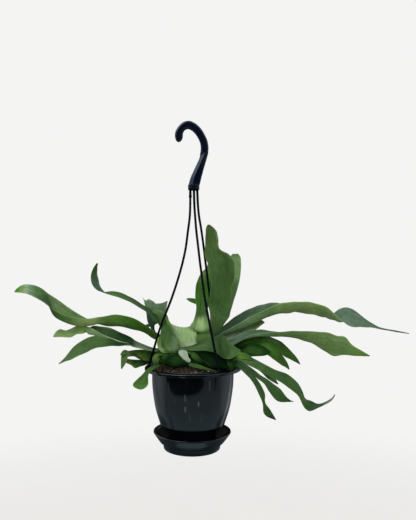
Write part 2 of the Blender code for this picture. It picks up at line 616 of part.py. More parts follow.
def rod(name, centre, radius, low, high, sides=12):
    bm = bmesh.new()
    bmesh.ops.create_cone(bm, cap_ends=True, segments=sides, radius1=radius, radius2=radius, depth=high - low)
    bmesh.ops.translate(bm, verts=bm.verts, vec=(centre[0], centre[1], (low + high) / 2))
    mesh = bpy.data.meshes.new(name)
    bm.to_mesh(mesh)
    bm.free()
    return mesh


def turned_block(name, outline, width, angle):
    """An outline of (radius, height) extruded to a width and set at an angle round the pot's axis."""
    c, s = math.cos(math.radians(angle)), math.sin(math.radians(angle))
    points = []
    for side in (-width / 2, width / 2):
        points += [(r * c - side * s, r * s + side * c, z) for r, z in outline]
    n = len(outline)
    faces = [tuple(range(n)), tuple(reversed(range(n, 2 * n)))]
    faces += [(i, n + i, n + (i + 1) % n, (i + 1) % n) for i in range(n)]
    return mesh_of(name, points, faces)


def cut(obj, cutter, operation="DIFFERENCE"):
    modifier = obj.modifiers.new(cutter.name, "BOOLEAN")
    modifier.operation = operation
    modifier.object = cutter


def swept(points, radii, sides, squash=1.0):
    """A round rod along the points, with a radius at each."""
    points = np.array(points, float)
    ahead = np.gradient(points, axis=0)
    ahead /= np.linalg.norm(ahead, axis=1)[:, None]
    rings = []
    for p, t, r in zip(points, ahead, radii):
        u = np.cross(t, (0.0, 1.0, 0.0))
        u /= np.linalg.norm(u)
        v = np.cross(t, u)
        for i in range(sides):
            a = 2 * math.pi * (i + 0.5) / sides
            rings.append(p + r * (math.cos(a) * u + squash * math.sin(a) * v))
    return rings, tube_faces(len(points), sides)


def tube_faces(count, sides):
    faces = [tuple(range(sides)), tuple(reversed(range((count - 1) * sides, count * sides)))]
    for k in range(count - 1):
        for i in range(sides):
            j = (i + 1) % sides
            faces.append((k * sides + i, (k + 1) * sides + i, (k + 1) * sides + j, k * sides + j))
    return faces


# Pot: a thin tapering wall, an open flange round the rim with a hanging lip, a floor with drainage
# holes, and a ring underneath that stands in the saucer.
black = material("pot_plastic", (0.012, 0.016, 0.019), 0.22)
wall_outside = [(63.0, 10.0), (62.6, 28.0), (61.7, 39.0), (60.0, 52.0), (57.7, 64.0), (54.6, 75.0), (52.2, 82.4), (50.4, 86.0)]
profile = [(0.0, -POT_DEPTH), (NECK_RADIUS - WALL, -POT_DEPTH), (NECK_RADIUS - WALL - 0.3, -NECK_FOOT)]
profile += [(NECK_RADIUS - 0.3, -NECK_FOOT), (NECK_RADIUS, -POT_DEPTH), (48.4, -POT_DEPTH)]
profile += [(r, -z) for r, z in reversed(wall_outside)]
profile += [(POT_RADIUS, -3.6), (65.2, -2.1), (RIM_RADIUS - 1.6, -2.1), (RIM_RADIUS - 1.5, -RIM_LIP)]
profile += [(RIM_RADIUS, -RIM_LIP), (RIM_RADIUS, -0.7), (RIM_RADIUS - 0.7, 0.0), (62.2, 0.0), (61.5, -0.6)]
profile += [(r - WALL, -z) for r, z in wall_outside[:-1]] + [(47.4, -POT_DEPTH + WALL), (0.0, -POT_DEPTH + WALL)]
pot = add("pot", turned("pot", profile, ROUND), black)
for name, angle in ANCHOR_ANGLES.items():
    spot = (ANCHOR_RADIUS * math.cos(math.radians(angle)), ANCHOR_RADIUS * math.sin(math.radians(angle)))
    cut(pot, add("rim_hole_" + name, rod("rim_hole_" + name, spot, ANCHOR_HOLE, -5.0, 3.0), cutter=True))
for k in range(5):
    angle = math.radians(90 + 72 * k)
    spot = (22 * math.cos(angle), 22 * math.sin(angle))
    cut(pot, add(f"drain_{k}", rod(f"drain_{k}", spot, 4.0, -POT_DEPTH - 3, -POT_DEPTH + 5, 10), cutter=True))
for k in range(4):
    slot = turned_block(f"clip_slot_{k}", [(33, -118.6), (39, -118.6), (39, -113.6), (33, -113.6)], 11.0, 45 + 90 * k)
    cut(pot, add(f"clip_slot_{k}", slot, cutter=True))
    slot = turned_block(f"drain_notch_{k}", [(33, -124), (39, -124), (39, -119.0), (33, -119.0)], 12.0, 90 * k)
    cut(pot, add(f"drain_notch_{k}", slot, cutter=True))

# Saucer: a flared dish with a narrower foot, and four clips that snap into the pot's ring.
saucer_black = material("saucer_plastic", (0.012, 0.016, 0.019), 0.25)
profile = [(0.0, -SAUCER_BASE), (43.3, -SAUCER_BASE), (44.1, -125.5), (44.7, -122.6), (46.4, -120.0), (49.6, -116.2), (53.0, -111.9)]
profile += [(56.6, -107.6), (59.1, -103.3), (SAUCER_RADIUS, -100.8), (59.4, -99.8), (58.6, -SAUCER_TOP), (57.9, -99.8)]
profile += [(57.5, -102.7), (55.1, -106.8), (51.6, -111.0), (48.2, -115.2), (45.0, -119.0), (43.1, -121.8), (42.4, -124.7)]
profile += [(0.0, -124.7)]
saucer = add("saucer", turned("saucer", profile, ROUND), saucer_black)
clip_outline = [(38.0, -125.5), (39.7, -125.5), (39.7, -113.4), (38.6, -113.4), (35.8, -115.6), (35.8, -116.4), (38.0, -116.4)]
for k in range(4):
    cut(saucer, add(f"clip_{k}", turned_block(f"clip_{k}", clip_outline, 9.0, 45 + 90 * k), cutter=True), "UNION")

# Potting mix: fills the pot, heaped a little in the middle.
mix = material("potting_mix", (0.055, 0.035, 0.022), 0.95)
MIX_GAP = 0.6
top = [(0.0, 8.0), (16.0, 7.4), (32.0, 5.0), (46.0, 1.6), (57.0, -2.6), (60.6, -4.6)]
profile = top + [(60.8, -10.0)]
profile += [(r - WALL - MIX_GAP - 0.1, -z) for r, z in wall_outside[1:-1]]
profile += [(45.6, -POT_DEPTH + WALL + MIX_GAP + 0.2), (0.0, -POT_DEPTH + WALL + MIX_GAP)]
add("potting_mix", turned("potting_mix", profile, 24), mix)

# Rhizome: the low woody crown that the fronds grow from, on top of the potting mix.
bark = material("rhizome", (0.09, 0.06, 0.035), 0.9)


def mix_top(radius):
    return float(np.interp(radius, [r for r, _ in top], [z for _, z in top]))


CROWNS = ((-33.0, 13.0, 15.0, 15.0), (-3.0, 14.0, 18.0, 13.0), (27.0, 14.0, 19.0, 20.0))  # x, y, spread, height
points, faces, sides, rings = [], [], 20, 5
for level in range(2):
    for ring in range(rings):
        reach = (ring + 1) / rings
        for i in range(sides):
            angle = 2 * math.pi * i / sides
            x = -3 + 47 * reach * math.cos(angle)
            y = 13 + 24 * reach * math.sin(angle)
            floor = mix_top(math.hypot(x, y)) + 0.9
            rise = sum(h * math.exp(-((x - cx) ** 2 + (y - cy) ** 2) / (2 * (0.62 * w) ** 2)) for cx, cy, w, h in CROWNS)
            rise = rise * (1 - reach**4) + 1.6
            points.append((x, y, floor + (rise if level else 0.0)))
    points.append((-3, 13, mix_top(math.hypot(3, 13)) + 0.9 + (level and 1.6 + sum(h * math.exp(-((-3 - cx) ** 2 + (13 - cy) ** 2) / (2 * (0.62 * w) ** 2)) for cx, cy, w, h in CROWNS))))
for level in range(2):
    base = level * (sides * rings + 1)
    centre = base + sides * rings
    for i in range(sides):
        j = (i + 1) % sides
        faces.append((centre, base + i, base + j))
        for ring in range(rings - 1):
            a, b = base + ring * sides, base + (ring + 1) * sides
            faces.append((a + i, b + i, b + j, a + j))
edge = (rings - 1) * sides
upper = sides * rings + 1
for i in range(sides):
    j = (i + 1) % sides
    faces.append((edge + i, edge + j, upper + edge + j, upper + edge + i))
add("rhizome", mesh_of("rhizome", points, faces), bark)

# Hook: one moulding.  Rows of (outer edge, inner edge) from the tip round to the foot.
plastic = material("hook_plastic", (0.010, 0.013, 0.022), 0.35)
HOOK_ROWS = [
    ((177.5, 141.6), (181.2, 141.3)), ((175.8, 138.4), (182.4, 138.2)), ((176.0, 131.2), (183.1, 132.8)),
    ((179.0, 125.8), (184.7, 130.4)), ((183.2, 122.2), (186.5, 129.3)), ((188.6, 120.9), (188.6, 129.1)),
    ((194.6, 123.0), (192.0, 130.8)), ((200.6, 128.2), (195.9, 134.4)), ((204.4, 134.0), (198.9, 138.8)),
    ((207.4, 140.6), (200.7, 143.2)), ((208.5, 147.0), (201.4, 147.8)), ((208.3, 152.0), (201.1, 152.4)),
    ((207.1, 157.4), (199.4, 158.0)), ((205.4, 163.4), (197.0, 163.6)), ((203.3, 170.6), (193.6, 170.8)),
    ((201.5, 177.4), (190.6, 177.6)), ((199.9, 184.0), (188.6, 184.2)), ((199.3, 186.0), (188.0, 186.0)),
]
SECTION = ((1.0, 0.45), (0.62, 1.0), (-0.62, 1.0), (-1.0, 0.45), (-1.0, -0.45), (-0.62, -1.0), (0.62, -1.0), (1.0, -0.45))
points = []
for k, (outer, inner) in enumerate(HOOK_ROWS):
    o, i = np.array(sheet_point((*outer, 0))), np.array(sheet_point((*inner, 0)))
    deep = HOOK_DEPTH / 2 * (0.75 if k == 0 else 1.0)
    for along, depth in SECTION:
        p = (o + i) / 2 + (o - i) / 2 * along
        points.append((p[0], p[1] + deep * depth, p[2]))
hook = add("hook", mesh_of("hook", points, tube_faces(len(HOOK_ROWS), len(SECTION))), plastic)
collar = turned("collar", [(0.0, COLLAR_BASE), (8.2, COLLAR_BASE), (COLLAR_RADIUS, COLLAR_BASE + 0.7), (COLLAR_RADIUS, COLLAR_TOP - 0.8), (8.1, COLLAR_TOP), (0.0, COLLAR_TOP)], 24)
for vertex in collar.vertices:
    vertex.co.x += COLLAR_CENTRE
cut(hook, add("collar", collar, cutter=True), "UNION")
for name, spot in SOCKETS.items():
    cut(hook, add("socket_" + name, rod("socket_" + name, spot, SOCKET_RADIUS, COLLAR_BASE - 3, COLLAR_BASE + 5.4), cutter=True))

# Hanger strands: stiff moulded cords from the collar's sockets to the rim, where each passes
# through its hole between a collar above the flange and a barb below it.
STRANDS = {
    "left": [(190.3, 196), (190.2, 206), (189.8, 216), (188.0, 230.6), (185.4, 249.7), (181.9, 265.3), (178.2, 278.3),
             (174.7, 289.4), (170.8, 300.6), (166.3, 312), (161.9, 323), (158.2, 334), (155.2, 344.4), (152.2, 354.6), (150.1, 361.6)],
    "front_right": [(194.1, 196), (194.4, 206), (195.1, 216), (196.2, 229.7), (198.0, 245.3), (199.7, 260.1), (201.4, 273),
                    (203.2, 287), (205.3, 301), (207.6, 313.4), (209.6, 324), (211.8, 335), (213.9, 346), (216.2, 357.6), (218.4, 367.4)],
    "back_right": [(197.5, 196), (198.0, 206), (199.0, 216), (201.0, 228), (203.2, 243.6), (205.3, 260.9), (207.4, 277.4),
                   (209.4, 293), (211.2, 308), (212.8, 321), (214.4, 334), (216.0, 345.5), (217.3, 355)],
}
for name, route in STRANDS.items():
    angle = math.radians(ANCHOR_ANGLES[name])
    foot = (ANCHOR_RADIUS * math.cos(angle), ANCHOR_RADIUS * math.sin(angle))
    socket = SOCKETS[name]
    last = route[-1][0]
    knots = [(socket[0], socket[1], COLLAR_BASE + 4.6), (socket[0], socket[1], COLLAR_BASE + 0.2)]
    for column, row in route:
        # depth runs from the socket's to the rim hole's as the strand swings out
        out = (column - route[0][0]) / (last - route[0][0])
        depth = socket[1] + (foot[1] - socket[1]) * out * 0.97
        knots.append(sheet_point((column, row, depth)))
    foot_turn = [(foot[0], foot[1], 2.9)]
    knots = np.array(knots + foot_turn)
    s = np.concatenate([[0], np.cumsum(np.linalg.norm(np.diff(knots, axis=0), axis=1))])
    t = np.concatenate([[0.0, s[1]], np.linspace(s[2], s[-2], 16), [s[-1]]])
    path = list(curve_at(s, knots, slopes(s, knots), t))
    radii = [STRAND_RADIUS] * len(path)
    x, y = foot
    path += [(x, y, 2.3), (x, y, 0.75), (x, y, 0.4), (x, y, -2.45), (x, y, -2.7), (x, y, -6.4)]
    radii[-1] = 1.7
    radii += [2.6, 2.6, 1.55, 1.55, 2.9, 1.3]
    rings, faces = swept(path, radii, 8)
    strand = material("strand_" + name, (0.011, 0.014, 0.022), 0.4)
    add("hanger_strand_" + name, mesh_of("strand_" + name, rings, faces), strand)

# Fronds
greens = {
    "shield": (0.20, 0.33, 0.13), "pale": (0.36, 0.46, 0.32), "yellow": (0.12, 0.18, 0.03),
    "dark": (0.02, 0.06, 0.015), "grey": (0.10, 0.17, 0.11), "leaf": (0.06, 0.12, 0.03),
}
TINTS = {
    "shield_left": "shield", "shield_back_left": "shield", "shield_back_right": "shield", "frond_pale": "pale",
    "frond_front_yellow": "yellow", "frond_front_round": "yellow", "frond_front_low": "yellow",
    "frond_front_dark": "dark", "frond_front_deep": "dark", "frond_left_upright": "grey", "frond_right_short": "grey",
    "frond_right_rim": "dark", "frond_right_under": "dark",
}
for name, frond in {**FRONDS, **REAR_FRONDS}.items():
    surface, quads, _ = blade(frond, 4, 30.0)
    points, faces = thicken(surface, quads, FROND_THICKNESS)
    add(name, mesh_of(name, points, faces), material(name, greens[TINTS.get(name, "leaf")], 0.5))
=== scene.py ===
"""Looks for the staghorn fern in a hanging pot: camera, soft studio light, and detailed pieces
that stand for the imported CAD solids."""

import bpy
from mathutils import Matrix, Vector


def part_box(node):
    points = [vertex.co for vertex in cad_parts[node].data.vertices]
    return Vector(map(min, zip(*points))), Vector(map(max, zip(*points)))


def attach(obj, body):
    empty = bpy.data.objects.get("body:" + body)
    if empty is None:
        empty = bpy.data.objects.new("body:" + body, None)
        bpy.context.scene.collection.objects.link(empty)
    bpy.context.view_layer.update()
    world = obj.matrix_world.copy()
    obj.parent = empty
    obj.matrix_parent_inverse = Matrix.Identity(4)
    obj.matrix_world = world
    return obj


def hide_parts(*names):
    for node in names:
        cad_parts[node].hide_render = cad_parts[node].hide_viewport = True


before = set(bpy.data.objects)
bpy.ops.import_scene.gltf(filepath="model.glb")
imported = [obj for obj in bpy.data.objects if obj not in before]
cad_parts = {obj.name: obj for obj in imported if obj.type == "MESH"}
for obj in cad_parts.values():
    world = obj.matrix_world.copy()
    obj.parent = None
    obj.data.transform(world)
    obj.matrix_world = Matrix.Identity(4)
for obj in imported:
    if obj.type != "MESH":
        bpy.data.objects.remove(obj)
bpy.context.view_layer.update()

import math

import bmesh
import bpy
import numpy as np
from mathutils import Vector

# The pieces are set out in millimetres from the centre of the pot's rim plane.
_lo, _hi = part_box("pot")
RIM = np.array(((_lo.x + _hi.x) / 2, (_lo.y + _hi.y) / 2, _hi.z))
MM = 0.001
scene = bpy.context.scene
scene.view_settings.view_transform = "Standard"


def world_point(p):
    return RIM + np.asarray(p, float) * MM


# Camera: level with the middle of the plant, 800 mm in front of the pot's axis.
camera = bpy.data.objects.new("camera", bpy.data.cameras.new("camera"))
scene.collection.objects.link(camera)
camera.location = world_point((23.44, -800.0, 139.0))
camera.rotation_euler = (math.radians(90), 0, 0)
camera.data.sensor_width = 36.0
camera.data.lens = 36.0 * 512 / 520
camera.data.shift_y = 17.2 / 520
camera.data.clip_start, camera.data.clip_end = 0.05, 60
scene.camera = camera


class Nodes:
    """A short way to write a node tree."""

    def __init__(self, tree):
        self.tree = tree
        tree.nodes.clear()

    def new(self, kind, inputs=(), **settings):
        node = self.tree.nodes.new(kind)
        for key, value in settings.items():
            setattr(node, key, value)
        for key, value in dict(inputs).items():
            self.put(node.inputs[key], value)
        return node

    def put(self, socket, value):
        if isinstance(value, bpy.types.NodeSocket):
            self.tree.links.new(value, socket)
        elif value is not None:
            if socket.type == "RGBA" and len(value) == 3:
                value = (*value, 1.0)
            socket.default_value = value

    def attr(self, name):
        return self.new("ShaderNodeAttribute", attribute_name=name)

    def coords(self, kind="Object"):
        return self.new("ShaderNodeTexCoord").outputs[kind]

    def math(self, operation, a, b=None, c=None, clamp=False):
        node = self.new("ShaderNodeMath", operation=operation, use_clamp=clamp)
        for i, v in enumerate((a, b, c)):
            if v is not None:
                self.put(node.inputs[i], v)
        return node.outputs[0]

    def vector(self, operation, a, b=None):
        node = self.new("ShaderNodeVectorMath", operation=operation)
        self.put(node.inputs[0], a)
        if b is not None:
            self.put(node.inputs[3] if operation == "SCALE" else node.inputs[1], b)
        return node.outputs["Value"] if operation in ("DOT_PRODUCT", "LENGTH", "DISTANCE") else node.outputs[0]

    def noise(self, vector, scale, detail=3.0, rough=0.5, distortion=0.0, out="Fac"):
        node = self.new("ShaderNodeTexNoise", {"Vector": vector, "Scale": scale, "Detail": detail, "Roughness": rough, "Distortion": distortion})
        return node.outputs[out]

    def voronoi(self, vector, scale, feature="F1", out="Distance", randomness=1.0):
        node = self.new("ShaderNodeTexVoronoi", {"Vector": vector, "Scale": scale, "Randomness": randomness}, feature=feature)
        return node.outputs[out]

    def ramp(self, fac, stops, out="Color"):
        node = self.new("ShaderNodeValToRGB", {"Fac": fac})
        ramp = node.color_ramp
        while len(ramp.elements) < len(stops):
            ramp.elements.new(0.5)
        for element, (at, colour) in zip(ramp.elements, stops):
            element.position = at
            element.color = (colour, colour, colour, 1.0) if isinstance(colour, (int, float)) else (*colour, 1.0)
        return node.outputs[out]

    def range(self, value, lo, hi, to_lo=0.0, to_hi=1.0, smooth=False):
        node = self.new("ShaderNodeMapRange", interpolation_type="SMOOTHSTEP" if smooth else "LINEAR")
        for i, v in enumerate((value, lo, hi, to_lo, to_hi)):
            self.put(node.inputs[i], v)
        return node.outputs[0]

    def mix(self, fac, a, b, blend="MIX"):
        node = self.new("ShaderNodeMix", data_type="RGBA", blend_type=blend, clamp_factor=True)
        for i, v in ((0, fac), (6, a), (7, b)):
            self.put(node.inputs[i], v)
        return node.outputs[2]

    def split(self, vector):
        return self.new("ShaderNodeSeparateXYZ", {0: vector}).outputs

    def join(self, x, y, z):
        return self.new("ShaderNodeCombineXYZ", {0: x, 1: y, 2: z}).outputs[0]

    def bump(self, height, strength, distance, normal=None):
        node = self.new("ShaderNodeBump", {"Height": height, "Strength": strength, "Distance": distance, "Normal": normal})
        return node.outputs[0]

    def surface(self, **inputs):
        names = {k.replace("_", " "): v for k, v in inputs.items()}
        shader = self.new("ShaderNodeBsdfPrincipled", names)
        out = self.new("ShaderNodeOutputMaterial")
        self.tree.links.new(shader.outputs[0], out.inputs[0])
        return shader


def new_material(name):
    mat = bpy.data.materials.new(name)
    mat.use_nodes = True
    return mat, Nodes(mat.node_tree)


# Studio: an even pale surround for the camera.  What lights the plant and shows in the gloss is a
# room: a bright ceiling, a pale floor, dimmer walls, and a dark opening behind the camera.
SURROUND = (0.905, 0.905, 0.900)
studio = bpy.data.worlds.new("studio")
scene.world = studio
studio.use_nodes = True
n = Nodes(studio.node_tree)
direction = n.coords("Generated")
dx, dy, dz = n.split(direction)
turn = n.math("DEGREES", n.math("ARCTAN2", dx, n.math("MULTIPLY", dy, -1.0)))  # 0 towards the camera, 90 right
rise = n.math("DEGREES", n.math("ARCSINE", dz))
level = n.ramp(n.range(rise, -90.0, 90.0), [(0.0, 0.56), (0.22, 0.46), (0.36, 0.36), (0.42, 0.27), (0.50, 0.26), (0.60, 0.50), (0.72, 0.85), (1.0, 1.20)])


def oval(turn_at, rise_at, wide, high, soft, inside, outside, square=2.0):
    """One value inside an oval of the given half sizes, in degrees, and another outside it."""
    away = n.math("PINGPONG", n.math("ADD", n.math("SUBTRACT", turn, turn_at), 360.0), 180.0)
    up = n.math("ABSOLUTE", n.math("DIVIDE", n.math("SUBTRACT", rise, rise_at), high))
    far = n.math("ADD", n.math("POWER", n.math("DIVIDE", away, wide), square), n.math("POWER", up, square))
    return n.range(n.math("POWER", far, 1.0 / square), 1.0 - soft, 1.0 + soft, inside, outside, smooth=True)


for place in (
    (-18.5, 10.0, 54.5, 34.0, 0.05, 0.02, 1.0, 3.5),  # the dark opening
    (-100.0, 14.0, 26.0, 34.0, 0.35, 2.4, 1.0),  # a window to the left
    (105.0, 6.0, 24.0, 30.0, 0.35, 1.9, 1.0),
    (-86.0, -46.0, 7.0, 22.0, 0.40, 0.55, 1.0),
    (180.0, 4.0, 34.0, 26.0, 0.30, 0.10, 1.0),
    (180.0, -52.0, 80.0, 33.0, 0.10, 0.22, 1.0),  # the dark foot of the wall behind
):
    level = n.math("MULTIPLY", level, oval(*place))
for place in (
    (-61.0, 28.0, 13.0, 15.0, 0.30, 1.9, 0.0),  # a second pane, over the opening's left end
    (135.0, -24.0, 8.0, 13.0, 0.35, 0.42, 0.0),
):
    level = n.math("ADD", level, oval(*place))
cool = n.range(rise, -60.0, 5.0, 1.0, 0.0, smooth=True)  # the floor's light is a little green and blue
tinted = n.mix(cool, (0.96, 1.0, 1.10), (0.70, 1.0, 1.10))
room = n.new("ShaderNodeBackground", {"Color": n.vector("SCALE", tinted, level), "Strength": 1.0})
soft = n.ramp(n.range(rise, -90.0, 90.0), [(0.0, (0.70, 0.72, 0.66)), (0.45, (0.72, 0.73, 0.69)), (0.62, (0.84, 0.84, 0.82)), (1.0, (0.98, 0.98, 0.98))])
wash = n.new("ShaderNodeBackground", {"Color": soft, "Strength": 1.0})
path = n.new("ShaderNodeLightPath").outputs
lighting = n.new("ShaderNodeMixShader", {0: path["Is Glossy Ray"], 1: wash.outputs[0], 2: room.outputs[0]})
seen = n.new("ShaderNodeBackground", {"Color": SURROUND, "Strength": 1.0})
both = n.new("ShaderNodeMixShader", {0: path["Is Camera Ray"], 1: lighting.outputs[0], 2: seen.outputs[0]})
n.new("ShaderNodeOutputWorld", {0: both.outputs[0]})


def area_light(name, at, aim, size, power, gloss=True, colour=(1, 1, 1)):
    light = bpy.data.lights.new(name, "AREA")
    light.shape = "DISK"
    light.size, light.energy, light.color = size, power, colour
    obj = bpy.data.objects.new(name, light)
    scene.collection.objects.link(obj)
    obj.location = at
    obj.rotation_mode = "QUATERNION"
    obj.rotation_quaternion = (Vector(aim) - Vector(at)).to_track_quat("-Z", "Y")
    obj.visible_camera = False
    obj.visible_glossy = gloss
    return obj


CENTRE = world_point((20, 0, 60))
area_light("key_light", CENTRE + (-0.9, -1.0, 1.6), CENTRE, 1.1, 15)
area_light("fill_light", CENTRE + (1.5, -0.8, 0.9), CENTRE, 1.4, 5, gloss=False)
area_light("back_light", CENTRE + (0.3, 1.6, 1.3), CENTRE, 1.4, 5, gloss=False)

# Floor: well below the hanging pot, pale and plain, fading into the surround at its edge.
floor_mesh = bpy.data.meshes.new("floor")
bm = bmesh.new()
bmesh.ops.create_circle(bm, cap_ends=True, segments=96, radius=4.2)
bm.to_mesh(floor_mesh)
bm.free()
floor = bpy.data.objects.new("floor", floor_mesh)
scene.collection.objects.link(floor)
floor.location = (RIM[0], RIM[1] + 0.4, CENTRE[2] - 1.35)
floor_mat, n = new_material("floor")
reach = n.vector("LENGTH", n.coords("Object"))
fade = n.range(reach, 1.4, 4.1, 0.0, 1.0, smooth=True)
matt = n.new("ShaderNodeBsdfDiffuse", {"Color": n.mix(n.noise(n.coords("Object"), 3.0), (0.83, 0.82, 0.81), (0.86, 0.85, 0.84))})
clear = n.new("ShaderNodeBsdfTransparent")
both = n.new("ShaderNodeMixShader", {0: fade, 1: matt.outputs[0], 2: clear.outputs[0]})
n.new("ShaderNodeOutputMaterial", {0: both.outputs[0]})
floor_mesh.materials.append(floor_mat)
floor.visible_glossy = floor.visible_diffuse = False


